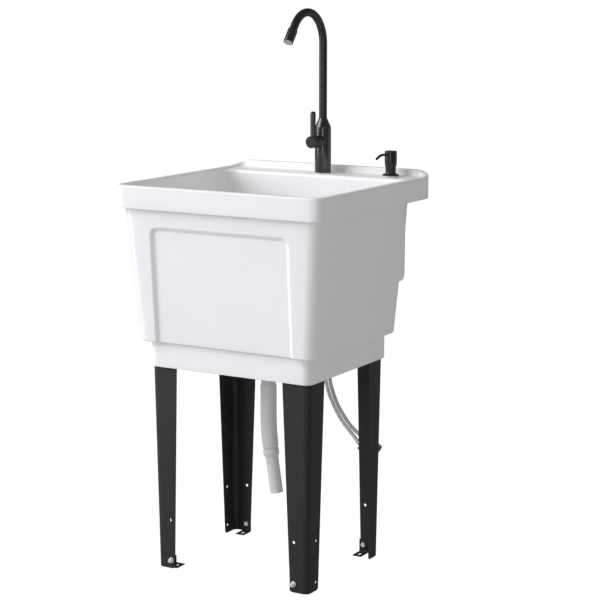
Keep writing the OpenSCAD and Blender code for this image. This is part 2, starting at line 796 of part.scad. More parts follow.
// Bent steel angle with tapered flanges, cut level at the floor and under the tub
module leg(name) {
    back = is_back(name);
    reach = flange_at(leg_rise) + 2 * overrun;
    color("#1d1e20")
    at_corner(name)
    intersection() {
        leaning(back)
            difference() {
                intersection() {
                    translate([0, 0, -skirt_z - overrun])
                        linear_extrude(height = skirt_z + leg_rise + 2 * overrun)
                            difference() {
                                corner_block(reach, leg_bend);
                                translate([-leg_thick, leg_thick])
                                    corner_block(reach, leg_bend - leg_thick);
                            }
                    translate([0, reach + overrun, 0])
                        rotate([90, 0, 0])
                            linear_extrude(height = reach + 2 * overrun)
                                flange_outline();
                    translate([overrun, 0, 0])
                        rotate([90, 0, -90])
                            linear_extrude(height = reach + 2 * overrun)
                                flange_outline();
                }
                for (z = [low_hole_height, high_hole_height]) {
                    face_hole(z, leg_hole);
                    side_hole(z, leg_hole);
                }
            }
        translate([0, -rim_y, seat_gap])
            cube([rim_x, rim_y, body_z - 2 * seat_gap]);
    }
}

// Bent bracket bolted inside the leg's front or back flange, with a slotted plate on the floor
module foot(name) {
    back = is_back(name);
    x = leg_x - lean_shift - face_hole_reach;
    y = -leg_y(back) + lean_shift + leg_thick + seat_gap;
    slot_run = slot_length - slot_width;
    color("#1d1e20")
    at_corner(name)
    difference() {
        translate([x + foot_width / 2, y, 0])
            rotate([0, -90, 0])
                linear_extrude(height = foot_width)
                    foot_profile();
        translate([x, y + slot_reach, -overrun]) {
            for (run = [-slot_run / 2, slot_run / 2])
                translate([0, run, 0])
                    cylinder(d = slot_width, h = foot_thick + 2 * overrun);
            translate([-slot_width / 2, -slot_run / 2, 0])
                cube([slot_width, slot_run, foot_thick + 2 * overrun]);
        }
        leaning(back)
            face_hole(low_hole_height, leg_hole);
    }
}

// The bracket's bent strip: first axis up, second axis inwards
module foot_profile() {
    intersection() {
        square([foot_rise, foot_length]);
        difference() {
            mirror([1, 0])
                corner_block(foot_length + foot_rise, foot_bend);
            translate([foot_thick, foot_thick])
                mirror([1, 0])
                    corner_block(foot_length + foot_rise, foot_bend - foot_thick);
        }
    }
}

module hex(width, height) {
    cylinder(d = width / cos(30), h = height, $fn = 6);
}

// Places its children at each foot bolt, with +Z along the bolt towards the outside of the leg
module at_bolts() {
    for (name = corner_names)
        at_corner(name)
            leaning(is_back(name))
                translate([-face_hole_reach, 0, low_hole_height - skirt_z])
                    rotate([90, 0, 0])
                        children();
}

module foot_bolts() {
    grip = leg_thick + foot_thick + bolt_slack;
    color("silver")
    at_bolts() {
        translate([0, 0, -grip])
            cylinder(d = bolt_size, h = grip + bolt_reach);
        translate([0, 0, -grip - bolt_head])
            hex(hex_width, bolt_head);
    }
}

module foot_washers() {
    color("silver")
    at_bolts()
        translate([0, 0, seat_gap])
            difference() {
                cylinder(d = washer_size, h = washer_thick);
                translate([0, 0, -overrun])
                    cylinder(d = bolt_size + 2 * seat_gap, h = washer_thick + 2 * overrun);
            }
}

module foot_nuts() {
    color("silver")
    at_bolts()
        translate([0, 0, 2 * seat_gap + washer_thick])
            difference() {
                hex(hex_width, foot_nut);
                translate([0, 0, -overrun])
                    cylinder(d = bolt_size + 2 * running_gap, h = foot_nut + 2 * overrun);
            }
}

// A tube or ring from z up
module tube(outer, inner, z, height) {
    translate([0, 0, z])
        difference() {
            cylinder(d = outer, h = height);
            translate([0, 0, -overrun])
                cylinder(d = inner, h = height + 2 * overrun);
        }
}

module at_drain() {
    translate([0, -drain_forward, 0])
        children();
}

// Flange, bowl with a pierced bottom, and threaded tube
module strainer() {
    lip_z = strainer_z + strainer_lip;
    bottom_z = drain_z - bowl_depth;
    bar = bowl_size / 14;
    color("silver")
    at_drain()
    difference() {
        union() {
            rotate_extrude()
                polygon([
                    [bowl_size / 2, thread_z], [thread_size / 2, thread_z], [thread_size / 2, strainer_z],
                    [strainer_size / 2, strainer_z], [strainer_size / 2, strainer_z + strainer_lip / 3],
                    [strainer_size / 2 - strainer_lip, lip_z], [thread_size / 2, lip_z],
                    [bowl_size / 2, lip_z - strainer_lip / 2]
                ]);
            translate([0, 0, bottom_z])
                cylinder(d = bowl_size + bowl_wall, h = 2 * bowl_wall);
        }
        for (a = [0 : 60 : 300])
            rotate([0, 0, a])
                translate([bowl_size / 4 + bar / 2, 0, bottom_z - overrun])
                    cylinder(d = bowl_size / 4 - bar, h = 2 * bowl_wall + 2 * overrun);
        translate([0, 0, bottom_z - overrun])
            cylinder(d = bowl_size / 4 - bar, h = 2 * bowl_wall + 2 * overrun);
    }
}

module drain_seal_ring() {
    color("dimgray")
    at_drain()
        tube(drain_seal_size, thread_size + 2 * seat_gap, body_z - drain_seal - seat_gap, drain_seal);
}

module drain_locknut() {
    lug = locknut_size / 8;
    z = body_z - drain_seal - locknut_thick - 2 * seat_gap;
    color("gainsboro")
    at_drain()
    difference() {
        union() {
            tube(locknut_size - lug, thread_size + 2 * running_gap, z, locknut_thick);
            for (a = [0 : 45 : 315])
                rotate([0, 0, a])
                    translate([locknut_size / 2 - lug, -lug / 2, z])
                        cube([lug, lug, locknut_thick]);
        }
        translate([0, 0, z - overrun])
            cylinder(d = thread_size + 2 * running_gap, h = locknut_thick + 2 * overrun);
    }
}

// Lift-out basket with a knob; its rim rests on the strainer's flange
module strainer_basket() {
    rest_z = strainer_z + strainer_lip + seat_gap;
    cup = bowl_size - 4 * bowl_wall;
    brim = bowl_size + 6 * bowl_wall;
    cup_z = drain_z - bowl_depth / 2;
    knob = bowl_size / 3;
    color("silver")
    at_drain() {
        difference() {
            rotate_extrude()
                polygon([
                    [0, cup_z], [cup / 2, cup_z], [cup / 2, rest_z], [brim / 2, rest_z],
                    [brim / 2, rest_z + bowl_wall], [cup / 2 - bowl_wall, rest_z + bowl_wall],
                    [cup / 2 - bowl_wall, cup_z + bowl_wall], [0, cup_z + bowl_wall]
                ]);
            for (a = [0 : 45 : 315])
                rotate([0, 0, a])
                    translate([cup / 3, 0, cup_z - overrun])
                        cylinder(d = cup / 8, h = bowl_wall + 2 * overrun);
        }
        translate([0, 0, cup_z + bowl_wall / 2])
            cylinder(d = knob / 3, h = rest_z - cup_z);
        translate([0, 0, rest_z])
            cylinder(d1 = knob / 2, d2 = knob, h = knob / 3);
    }
}

module tailpiece() {
    low = pipe_top - pipe_socket + seat_gap;
    color("white")
    at_drain()
    difference() {
        union() {
            translate([0, 0, low])
                cylinder(d = tail_size, h = collar_z - low + seat_gap);
            translate([0, 0, collar_z])
                cylinder(d = tail_collar, h = collar_thick);
        }
        translate([0, 0, low - overrun])
            cylinder(d = tail_size - 2 * tail_wall, h = collar_z + collar_thick - low + 2 * overrun);
    }
}

module slip_washer() {
    color("dimgray")
    at_drain()
        tube(tail_collar, tail_size, collar_z + collar_thick + seat_gap, drain_seal - 2 * seat_gap);
}

// Union nut that clamps the tailpiece's collar to the strainer's tube
module slip_nut() {
    z = collar_z - seat_gap - slip_lip;
    grip = slip_nut_size / 16;
    color("white")
    at_drain()
    difference() {
        translate([0, 0, z])
            cylinder(d = slip_nut_size, h = slip_nut_height);
        translate([0, 0, z - overrun])
            cylinder(d = tail_size + 4 * seat_gap, h = slip_lip + 2 * overrun);
        translate([0, 0, z + slip_lip])
            cylinder(d = thread_size + 2 * running_gap, h = slip_nut_height);
        for (a = [0 : 30 : 330])
            rotate([0, 0, a])
                translate([slip_nut_size / 2 + grip / 3, 0, z - overrun])
                    cylinder(d = grip, h = slip_nut_height + 2 * overrun);
    }
}

// The drain pipe's line: straight down, then a gentle bend towards the right
module pipe_line(d, top) {
    translate([0, 0, pipe_bend_height])
        cylinder(d = d, h = top - pipe_bend_height);
    translate([pipe_bend, 0, pipe_bend_height])
        rotate([-90, 0, 0])
            rotate_extrude(angle = pipe_turn, start = 180 - pipe_turn)
                translate([pipe_bend, 0])
                    circle(d = d);
}

// Places its children at the bend's lower end, with -Z along the pipe
module at_pipe_end() {
    at_drain()
        translate([pipe_shift, 0, pipe_bend_height - pipe_drop])
            rotate([0, -pipe_turn, 0])
                children();
}

module drain_pipe() {
    color("#d8d8da")
    at_drain()
    difference() {
        pipe_line(pipe_size, pipe_top);
        pipe_line(pipe_size - 2 * pipe_wall, pipe_top + overrun);
        translate([0, 0, pipe_top - pipe_socket])
            cylinder(d = tail_size + 2 * seat_gap, h = pipe_socket + overrun);
    }
}

// Rounded ring that joins the pipe to the narrower outlet
module drain_coupling() {
    low = -coupling_length;
    color("#d8d8da")
    at_pipe_end()
    difference() {
        rounded_disc(coupling_size, coupling_round, low, coupling_length - seat_gap);
        translate([0, 0, low - overrun])
            cylinder(d = spigot_size + 2 * seat_gap, h = coupling_length + 2 * overrun);
    }
}

// Disc with rounded edges, revolved from its outline
module rounded_disc(d, r, z, height) {
    rotate_extrude() {
        translate([0, z])
            square([d / 2 - r, height]);
        translate([0, z + r])
            square([d / 2, height - 2 * r]);
        for (level = [z + r, z + height - r])
            translate([d / 2 - r, level])
                circle(r = r);
    }
}

// Outlet with a slimmer spigot in the coupling
module drain_outlet() {
    low = -coupling_length - outlet_length + seat_gap;
    shoulder = -coupling_length - seat_gap;
    bore = outlet_size - 2 * pipe_wall;
    color("#d8d8da")
    at_pipe_end()
    difference() {
        union() {
            translate([0, 0, low])
                cylinder(d = outlet_size, h = shoulder - low);
            translate([0, 0, shoulder - edge])
                cylinder(d = spigot_size, h = edge - seat_gap - shoulder);
        }
        translate([0, 0, low - overrun])
            cylinder(d = bore, h = overrun - low);
    }
}

module at_mixer() {
    translate([0, mixer_y, 0])
        children();
}

// A cylinder along Y, from y towards the back
module along_y(d, y, z, length) {
    translate([0, y, z])
        rotate([-90, 0, 0])
            cylinder(d = d, h = length);
}

// Body with a side barrel; bored for the shank, the spout's collar and the cartridge
module mixer_body() {
    collar_spigot = mixer_size / 3;
    color("#232426")
    difference() {
        union() {
            at_mixer() {
                translate([0, 0, mixer_z])
                    cylinder(d = mixer_size, h = cone_z - mixer_z - edge);
                translate([0, 0, cone_z - edge])
                    cylinder(d1 = mixer_size, d2 = mixer_size - 2 * edge, h = edge);
            }
            along_y(barrel_size, barrel_y, barrel_z, barrel_reach);
        }
        at_mixer() {
            translate([0, 0, mixer_z - overrun])
                cylinder(d = shank_size + 2 * seat_gap, h = shank_socket + overrun);
            translate([0, 0, cone_z - collar_spigot])
                cylinder(d = spout_size + 4 * edge + 2 * running_gap, h = collar_spigot + overrun);
        }
        along_y(cartridge_size + 2 * seat_gap, barrel_y - overrun, barrel_z,
            ring_length + cartridge_length + 2 * seat_gap + overrun);
    }
}

module mixer_seal_ring() {
    color("black")
    at_mixer()
        tube(mixer_size - 2 * edge, mixer_hole, deck_z + seat_gap, mixer_seal - 2 * seat_gap);
}

// Threaded shank that holds the mixer down on the deck
module shank() {
    low = deck_under - shank_drop;
    color("darkgoldenrod")
    at_mixer()
        tube(shank_size, shank_bore, low, shank_top - seat_gap - low);
}

module shank_washer_ring() {
    z = deck_under - seat_gap - shank_washer_thick;
    color("dimgray")
    at_mixer()
        tube(shank_washer, shank_size + 4 * seat_gap, z, shank_washer_thick);
}

module shank_nut() {
    z = deck_under - 2 * seat_gap - shank_washer_thick - shank_nut_thick;
    color("goldenrod")
    at_mixer()
    difference() {
        translate([0, 0, z])
            hex(shank_nut_width, shank_nut_thick);
        translate([0, 0, z - overrun])
            cylinder(d = shank_size + 2 * running_gap, h = shank_nut_thick + 2 * overrun);
    }
}

// Cone that carries the spout and turns in the mixer's body
module spout_collar() {
    spigot_size = spout_size + 4 * edge;
    spigot = mixer_size / 3 - seat_gap;
    cone_low = cone_z + 2 * seat_gap;
    rise = cone_height - 2 * seat_gap;
    color("#232426")
    at_mixer()
    difference() {
        union() {
            translate([0, 0, cone_low])
                cylinder(d1 = mixer_size - 2 * edge, d2 = spout_size + 2 * edge, h = rise);
            translate([0, 0, cone_z - spigot])
                cylinder(d = spigot_size, h = spigot + 2 * seat_gap + edge);
        }
        translate([0, 0, cone_z - spigot - overrun])
            cylinder(d = spout_size - 2 * spout_wall, h = spigot + 2 * overrun);
        translate([0, 0, cone_z])
            cylinder(d = spout_size + 2 * running_gap, h = cone_height + overrun);
    }
}

// The spout's line: straight up, round the arc to the front, and a slightly slimmer straight end
module spout_line(d, low) {
    centre_z = deck_z + spout_height;
    translate([0, mixer_y, low])
        cylinder(d = d, h = centre_z - low);
    translate([0, mixer_y - spout_radius, centre_z])
        rotate([90, 0, 90])
            rotate_extrude(angle = spout_turn)
                translate([spout_radius, 0])
                    circle(d = d);
    at_spout_end()
        translate([0, 0, -spout_tip])
            cylinder(d = d - 2 * seat_gap, h = spout_tip + edge);
}

// Places its children at the end of the arc, with -Z along the spout
module at_spout_end() {
    translate([0, mixer_y - spout_radius, deck_z + spout_height])
        rotate([spout_turn - 180, 0, 0])
            translate([0, -spout_radius, 0])
                children();
}

module spout() {
    color("#232426")
    difference() {
        spout_line(spout_size, cone_z + seat_gap);
        spout_line(spout_size - 2 * spout_wall, cone_z - overrun);
        at_spout_end()
            translate([0, 0, -spout_tip - overrun])
                cylinder(d = spout_size + 2 * overrun, h = outlet_thick + seat_gap + overrun);
    }
}

module outlet_sleeve() {
    color("#232426")
    at_spout_end()
        tube(sleeve_size, spout_size + 2 * running_gap, -spout_tip, sleeve_length);
}

// Pierced disc that the water leaves through
module outlet_insert() {
    face = spout_size - 2 * seat_gap;
    color("silver")
    at_spout_end()
    difference() {
        translate([0, 0, -spout_tip])
            cylinder(d = face, h = outlet_thick);
        translate([0, 0, -spout_tip - overrun])
            cylinder(d = outlet_hole, h = outlet_thick + 2 * overrun);
        for (a = [0 : 60 : 300])
            rotate([0, 0, a])
                translate([face / 4, 0, -spout_tip - overrun])
                    cylinder(d = outlet_hole, h = outlet_thick + 2 * overrun);
    }
}

module cartridge() {
    color("ivory")
    along_y(cartridge_size, barrel_y + ring_length + seat_gap, barrel_z, cartridge_length);
}

module cartridge_ring() {
    color("gold")
    difference() {
        along_y(cartridge_size, barrel_y, barrel_z, ring_length);
        along_y(stem_size + 2 * running_gap, barrel_y - overrun, barrel_z, ring_length + 2 * overrun);
    }
}

// Turns with the lever round the barrel's axis; its cross pin carries the cap
module mixer_stem() {
    color("silver") {
        along_y(stem_size, lever_y - pin_size, barrel_z, pin_size + barrel_y - lever_y + ring_length);
        translate([-barrel_size / 3 - overrun, lever_y, barrel_z])
            rotate([0, 90, 0])
                cylinder(d = pin_size, h = 2 * barrel_size / 3 + 2 * overrun);
    }
}

// Cap on the barrel; its lower back edge is cut away so that it can tilt forward
module lever_cap() {
    pocket = stem_size + 2 * pin_size;
    pocket_y = lever_y - norm([stem_size / 2, pin_size]) - 2 * seat_gap;
    color("#232426")
    difference() {
        union() {
            along_y(barrel_size, cap_y + edge, barrel_z, cap_length - edge);
            translate([0, cap_y, barrel_z])
                rotate([-90, 0, 0])
                    cylinder(d1 = barrel_size - 2 * edge, d2 = barrel_size, h = edge);
        }
        along_y(pocket, pocket_y, barrel_z, barrel_size);
        translate([-barrel_size / 3 - 2 * overrun, lever_y, barrel_z])
            rotate([0, 90, 0])
                cylinder(d = pin_size + 2 * running_gap, h = 2 * barrel_size / 3 + 4 * overrun);
        translate([0, rod_y, barrel_z + barrel_size / 2 - 3 * edge])
            cylinder(d = rod_size + 2 * running_gap, h = barrel_size);
        translate([0, rod_y, barrel_z - barrel_size])
            cylinder(d = pin_size + 2 * running_gap, h = barrel_size / 2 + 2 * pin_size);
        translate([0, lever_y, barrel_z])
            rotate([-lever_travel, 0, 0])
                translate([-barrel_size, barrel_y - lever_y - seat_gap, -2 * barrel_size])
                    cube([2 * barrel_size, barrel_size, 4 * barrel_size]);
    }
}

module lever_rod() {
    low = barrel_z + barrel_size / 2 - 3 * edge + seat_gap;
    top = barrel_z + rod_height;
    color("#232426")
    translate([0, rod_y, 0])
    rotate_extrude() {
        translate([0, low])
            square([rod_size / 2, top - rod_round - low]);
        rounded_top(rod_size / 2, rod_round, top);
    }
}

// Half outline of a rounded top, from its axis
module rounded_top(half, r, top) {
    translate([0, top - 2 * r])
        square([half - r, 2 * r]);
    intersection() {
        translate([half - r, top - r])
            circle(r = r);
        translate([0, top - 2 * r])
            square([half, 2 * r]);
    }
}

module set_screw() {
    color("silver")
    translate([0, rod_y, barrel_z - barrel_size / 2 + edge])
        cylinder(d = pin_size, h = 2 * pin_size - 2 * edge);
}

// Skin of a hose along its route; every ring stands square to the route
function unit(v) = v / norm(v);
function route_tangent(route, i) =
    unit(route[min(i + 1, len(route) - 1)] - route[max(i - 1, 0)]);
function hose_ring(route, i) =
    let (t = route_tangent(route, i), across = unit(cross(t, [0, 1, 0])), up = cross(across, t))
    [for (k = [0 : hose_sides - 1])
        let (a = 360 * (k + 1 / 2) / hose_sides)
        route[i] + hose_size / 2 / cos(180 / hose_sides) * (across * cos(a) + up * sin(a))];
module hose(route) {
    color("silver")
    loft([for (i = [0 : len(route) - 1]) hose_ring(route, i)]);
}
module hot_hose() {
    hose(hot_route);
}
module cold_hose() {
    hose(cold_route);
}

// Places its children at a hose's lower end, with -Z along the hose
module at_hose_end(route) {
    last = len(route) - 1;
    run = route[last] - route[last - 1];
    translate(route[last])
        rotate([0, -atan2(run.x, -run.z), 0])
            children();
}

// Crimped sleeves: two at the mixer inside the shank, two at the lower ends
module hose_sleeves() {
    color("silver") {
        for (route = [hot_route, cold_route])
            translate(route[0])
                cylinder(d = ferrule_size, h = shank_top - seat_gap - route[0].z);
        for (route = [hot_route, cold_route])
            at_hose_end(route)
                translate([0, 0, -ferrule_length])
                    cylinder(d = ferrule_size, h = ferrule_length);
    }
}

module hose_nuts() {
    color("gainsboro")
    for (route = [hot_route, cold_route])
        at_hose_end(route)
            difference() {
                translate([0, 0, -ferrule_length - seat_gap - hose_nut_length])
                    hex(hose_nut_width, hose_nut_length);
                translate([0, 0, -ferrule_length - seat_gap - hose_nut_length - overrun])
                    cylinder(d = hose_nut_bore, h = hose_nut_depth + overrun);
            }
}

module at_pump() {
    translate([pump_x, pump_y, 0])
        children();
}

// Flange and neck above the deck, threaded tube below, bored for the pump's barrel
module pump_base() {
    step = pump_foot_size + 2 * seat_gap;
    color("#232426")
    at_pump()
    difference() {
        union() {
            translate([0, 0, tube_z])
                cylinder(d = tube_size, h = neck_z - tube_z);
            rounded_disc(flange_size, flange_height / 3, flange_z, flange_height);
            translate([0, 0, neck_z - edge])
                cylinder(d = neck_size, h = neck_height + edge);
        }
        translate([0, 0, tube_z - overrun])
            cylinder(d = step, h = tube_drop + 2 * overrun);
        translate([0, 0, tube_z + bottle_wall])
            cylinder(d = pump_size + 2 * seat_gap, h = head_z - tube_z);
    }
}

module pump_seal_ring() {
    color("black")
    at_pump()
        tube(flange_size - 2 * edge, tube_size + 2 * seat_gap, deck_z + seat_gap, flange_seal - 2 * seat_gap);
}

module pump_nut() {
    z = deck_under - seat_gap - pump_nut_thick;
    color("#232426")
    at_pump()
    difference() {
        translate([0, 0, z])
            hex(pump_nut_width, pump_nut_thick);
        translate([0, 0, z - overrun])
            cylinder(d = tube_size + 2 * running_gap, h = pump_nut_thick + 2 * overrun);
    }
}

// Barrel that rests on the step in the base; its piston runs in the bore
module pump_barrel() {
    rest_z = tube_z + bottle_wall + seat_gap;
    foot_z = rest_z - pump_foot_length;
    bore = pump_foot_size - 2 * bottle_wall;
    color("ghostwhite")
    at_pump()
    difference() {
        union() {
            translate([0, 0, rest_z])
                cylinder(d = pump_size, h = head_z - 2 * edge - rest_z);
            translate([0, 0, foot_z])
                cylinder(d = pump_foot_size, h = pump_foot_length + edge);
        }
        translate([0, 0, foot_z + bottle_wall])
            cylinder(d = bore, h = head_z - foot_z - 2 * bottle_wall - 2 * edge);
        translate([0, 0, foot_z - overrun])
            cylinder(d = suction_size - 2 * seat_gap, h = bottle_wall + 2 * overrun);
        translate([0, 0, head_z - 2 * edge - bottle_wall])
            cylinder(d = piston_rod + 2 * running_gap, h = bottle_wall + overrun);
    }
}

// Stem with the pump's piston; it slides down with the head
module pump_stem() {
    bore = pump_foot_size - 2 * bottle_wall;
    piston_z = tube_z + bottle_wall;
    color("ghostwhite")
    at_pump() {
        translate([0, 0, piston_z])
            cylinder(d = piston_rod, h = head_z + head_height - head_wall - 3 * seat_gap - piston_z);
        translate([0, 0, piston_z])
            cylinder(d = bore - 2 * running_gap, h = 2 * bottle_wall);
    }
}

// Hollow head that slides over the neck and turns on the stem
module pump_head() {
    inner = head_size - 2 * head_wall;
    top = head_z + head_height;
    hub = piston_rod + 4 * head_wall;
    low = head_z + pump_travel + 2 * edge;
    color("#232426")
    at_pump()
    difference() {
        union() {
            difference() {
                union() {
                    translate([0, 0, head_z])
                        cylinder(d1 = head_size - 2 * head_chamfer, d2 = head_size, h = head_chamfer);
                    translate([0, 0, head_z + head_chamfer])
                        cylinder(d = head_size, h = head_height - head_chamfer - edge);
                    translate([0, 0, top - edge])
                        cylinder(d1 = head_size, d2 = head_size - 2 * edge, h = edge);
                }
                translate([0, 0, head_z - overrun])
                    cylinder(d = inner, h = low - head_z + overrun);
            }
            translate([0, 0, low - edge])
                cylinder(d = hub, h = edge + overrun);
        }
        translate([0, 0, head_z - overrun])
            cylinder(d = piston_rod + 2 * running_gap, h = head_height - head_wall + overrun);
        at_nozzle()
            cylinder(d = nozzle_size + 2 * seat_gap, h = head_size);
    }
}

// Places its children at the nozzle's seat in the head, with +Z along its straight part
module at_nozzle() {
    translate([0, -head_size / 4, head_z + nozzle_height])
        rotate([90 - nozzle_rise, 0, 0])
            children();
}

module pump_nozzle() {
    straight = nozzle_reach - head_size / 4 - seat_gap;
    color("#232426")
    at_pump()
    at_nozzle()
    translate([0, 0, seat_gap])
    difference() {
        union() {
            cylinder(d = nozzle_size, h = straight);
            translate([0, 0, straight])
                sphere(d = nozzle_size);
            translate([0, 0, straight])
                rotate([nozzle_rise + nozzle_droop, 0, 0])
                    cylinder(d = nozzle_size, h = nozzle_end);
        }
        translate([0, 0, straight])
            rotate([nozzle_rise + nozzle_droop, 0, 0])
                cylinder(d = nozzle_bore, h = nozzle_end + overrun);
    }
}

module suction_tube() {
    top = tube_z + seat_gap - pump_foot_length + bottle_wall;
    low = tube_z - bottle_height + 3 * bottle_wall;
    color("white")
    at_pump()
        tube(suction_size, suction_size - 2 * seat_gap - bottle_wall, low, top - low);
}

// Bottle that screws onto the threaded tube from below
module soap_bottle() {
    neck = tube_size + 2 * bottle_wall;
    shoulder = bottle_size / 5;
    neck_low = tube_z - bottle_wall;
    low = neck_low - bottle_height;
    color("whitesmoke")
    at_pump()
    rotate_extrude()
        polygon([
            [0, low], [bottle_size / 2 - 2 * bottle_wall, low], [bottle_size / 2, low + 2 * bottle_wall],
            [bottle_size / 2, neck_low - shoulder], [neck / 2, neck_low], [neck / 2, tube_z + pump_nut_thick],
            [neck / 2 - bottle_wall + running_gap, tube_z + pump_nut_thick],
            [neck / 2 - bottle_wall + running_gap, tube_z - seat_gap],
            [bottle_size / 2 - bottle_wall, neck_low - shoulder - bottle_wall],
            [bottle_size / 2 - bottle_wall, low + 2 * bottle_wall],
            [bottle_size / 2 - 3 * bottle_wall, low + bottle_wall], [0, low + bottle_wall]
        ]);
}

tub();
for (name = corner_names) {
    leg(name);
    foot(name);
}
foot_bolts();
foot_nuts();
foot_washers();
strainer();
drain_seal_ring();
drain_locknut();
strainer_basket();
tailpiece();
slip_washer();
slip_nut();
drain_pipe();
drain_coupling();
drain_outlet();
mixer_body();
mixer_seal_ring();
shank();
shank_washer_ring();
shank_nut();
spout_collar();
spout();
outlet_sleeve();
outlet_insert();
cartridge();
cartridge_ring();
mixer_stem();
lever_cap();
lever_rod();
set_screw();
hot_hose();
cold_hose();
hose_sleeves();
hose_nuts();
pump_base();
pump_seal_ring();
pump_nut();
pump_barrel();
pump_stem();
pump_head();
pump_nozzle();
suction_tube();
soap_bottle();
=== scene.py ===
import bpy
import math
import numpy as np
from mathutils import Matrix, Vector


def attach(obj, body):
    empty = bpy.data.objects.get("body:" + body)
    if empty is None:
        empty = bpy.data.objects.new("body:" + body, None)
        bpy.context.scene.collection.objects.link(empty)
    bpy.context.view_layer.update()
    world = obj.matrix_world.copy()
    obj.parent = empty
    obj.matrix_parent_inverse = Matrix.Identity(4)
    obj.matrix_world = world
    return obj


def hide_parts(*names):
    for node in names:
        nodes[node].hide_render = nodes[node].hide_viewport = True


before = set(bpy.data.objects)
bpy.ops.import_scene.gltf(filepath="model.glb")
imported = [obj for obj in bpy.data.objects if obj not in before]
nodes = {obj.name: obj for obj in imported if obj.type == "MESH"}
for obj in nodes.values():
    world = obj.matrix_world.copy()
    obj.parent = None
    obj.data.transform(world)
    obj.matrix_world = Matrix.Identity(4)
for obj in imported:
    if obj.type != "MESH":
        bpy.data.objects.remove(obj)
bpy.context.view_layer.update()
mm = 0.001
print("frame loaded:", len(nodes), "nodes")


def placed(name, data):
    thing = bpy.data.objects.new(name, data)
    bpy.context.scene.collection.objects.link(thing)
    return thing


# turns an object's -Z to a direction and keeps its Y up
def facing(direction):
    return Vector(direction).to_track_quat("-Z", "Y").to_euler()


# camera fitted to the photograph's straight edges
cameraSet = {"place": (2.05585, -3.38881, 1.31678), "forward": (-0.49905, 0.84841, -0.17649),
             "lens": 106.4, "sensor": 36, "far": 400}
eye = bpy.data.cameras.new("photoCamera")
eye.lens = cameraSet["lens"]
eye.sensor_width = cameraSet["sensor"]
eye.clip_end = cameraSet["far"]
eyeObject = placed("photoCamera", eye)
eyeObject.location = cameraSet["place"]
eyeObject.rotation_euler = facing(cameraSet["forward"])
bpy.context.scene.camera = eyeObject
bpy.context.scene.view_settings.view_transform = "Standard"
print("camera placed")


# quads between the rows of a grid whose columns go round: a loop joins the last row to the first,
# and otherwise both end rows are capped
def gridFaces(rows, cols, loop):
    r = np.arange(rows if loop else rows - 1)[:, None]
    c = np.arange(cols)[None, :]
    nextR, nextC = (r + 1) % rows, (c + 1) % cols
    quads = np.stack([r * cols + c, r * cols + nextC, nextR * cols + nextC, nextR * cols + c], -1)
    faces = quads.reshape(-1, 4).tolist()
    if not loop:
        faces.append(list(range(cols))[::-1])
        faces.append(list(range((rows - 1) * cols, rows * cols)))
    return faces


# enclosed volume by the divergence theorem: a sixth of the sum of each triangle's triple product
def enclosed(points, faces):
    total = 0.0
    for size in {len(f) for f in faces}:
        f = np.array([x for x in faces if len(x) == size])
        for k in range(1, size - 1):
            a, b, c = points[f[:, 0]], points[f[:, k]], points[f[:, k + 1]]
            total += float(np.einsum("ij,ij->i", a, np.cross(b, c)).sum()) / 6
    return total


def facesOut(points, faces):
    return [x[::-1] for x in faces] if enclosed(points, faces) < 0 else faces


def smoothShaded(mesh, sharp=35.0):
    mesh.polygons.foreach_set("use_smooth", np.ones(len(mesh.polygons), bool))
    mesh.set_sharp_from_angle(angle=math.radians(sharp))


# a piece that replaces a node, made of closed parts (points in millimetres, faces[, uv])
def makePiece(name, parts, finish, body, node, sharp=35.0):
    points, faces, uvs, start = [], [], [], 0
    for part in parts:
        p = np.asarray(part[0], float)
        points.append(p * mm)
        faces += [[i + start for i in x] for x in facesOut(p, part[1])]
        uvs.append(part[2] if len(part) > 2 else np.zeros((len(p), 2)))
        start += len(p)
    mesh = bpy.data.meshes.new(name)
    mesh.from_pydata(np.concatenate(points).tolist(), [], faces)
    corners = np.zeros(len(mesh.loops), np.int32)
    mesh.loops.foreach_get("vertex_index", corners)
    layer = mesh.uv_layers.new(name="surface")
    layer.uv.foreach_set("vector", np.concatenate(uvs)[corners].astype(np.float32).ravel())
    smoothShaded(mesh, sharp)
    mesh.materials.append(finishes[finish])
    piece = placed(name, mesh)
    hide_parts(node)
    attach(piece, body)
    return piece


# takes the cutters' volume, in millimetres, out of a piece and keeps the result as its mesh
def cutAway(piece, cutters):
    for points, faces in cutters:
        mesh = bpy.data.meshes.new("cutter")
        mesh.from_pydata((np.asarray(points) * mm).tolist(), [], facesOut(points, faces))
        cutter = placed("cutter", mesh)
        modifier = piece.modifiers.new("cut", "BOOLEAN")
        modifier.operation = "DIFFERENCE"
        modifier.solver = "EXACT"
        modifier.object = cutter
        bpy.context.view_layer.update()
        graph = bpy.context.evaluated_depsgraph_get()
        result = bpy.data.meshes.new_from_object(piece.evaluated_get(graph))
        piece.modifiers.clear()
        piece.data = result
        bpy.data.objects.remove(cutter)
    smoothShaded(piece.data)


# a profile of (radius, height) turned about an axis through base; with flats, a hexagon's width,
# a radius is at most width / 2 / cos(angle from the nearest flat's middle)
def turned(profile, base, sides, axis=(0, 0, 1), closed=False, flats=None):
    profile = np.asarray(profile, float)
    axis = np.asarray(axis, float) / np.linalg.norm(axis)
    side = np.cross(axis, (0, 1, 0) if abs(axis[1]) < 0.9 else (1, 0, 0))
    side /= np.linalg.norm(side)
    other = np.cross(axis, side)
    t = np.arange(sides) * 2 * math.pi / sides
    ring = np.cos(t)[:, None] * side + np.sin(t)[:, None] * other
    reach = np.broadcast_to(profile[:, None, 0:1], (len(profile), sides, 1))
    if flats:
        most = flats / 2 / np.cos(t % (math.pi / 3) - math.pi / 6)
        reach = np.minimum(reach, most[None, :, None])
    grid = np.asarray(base, float) + profile[:, None, 1:2] * axis + reach * ring[None]
    return grid.reshape(-1, 3), gridFaces(len(profile), sides, closed)


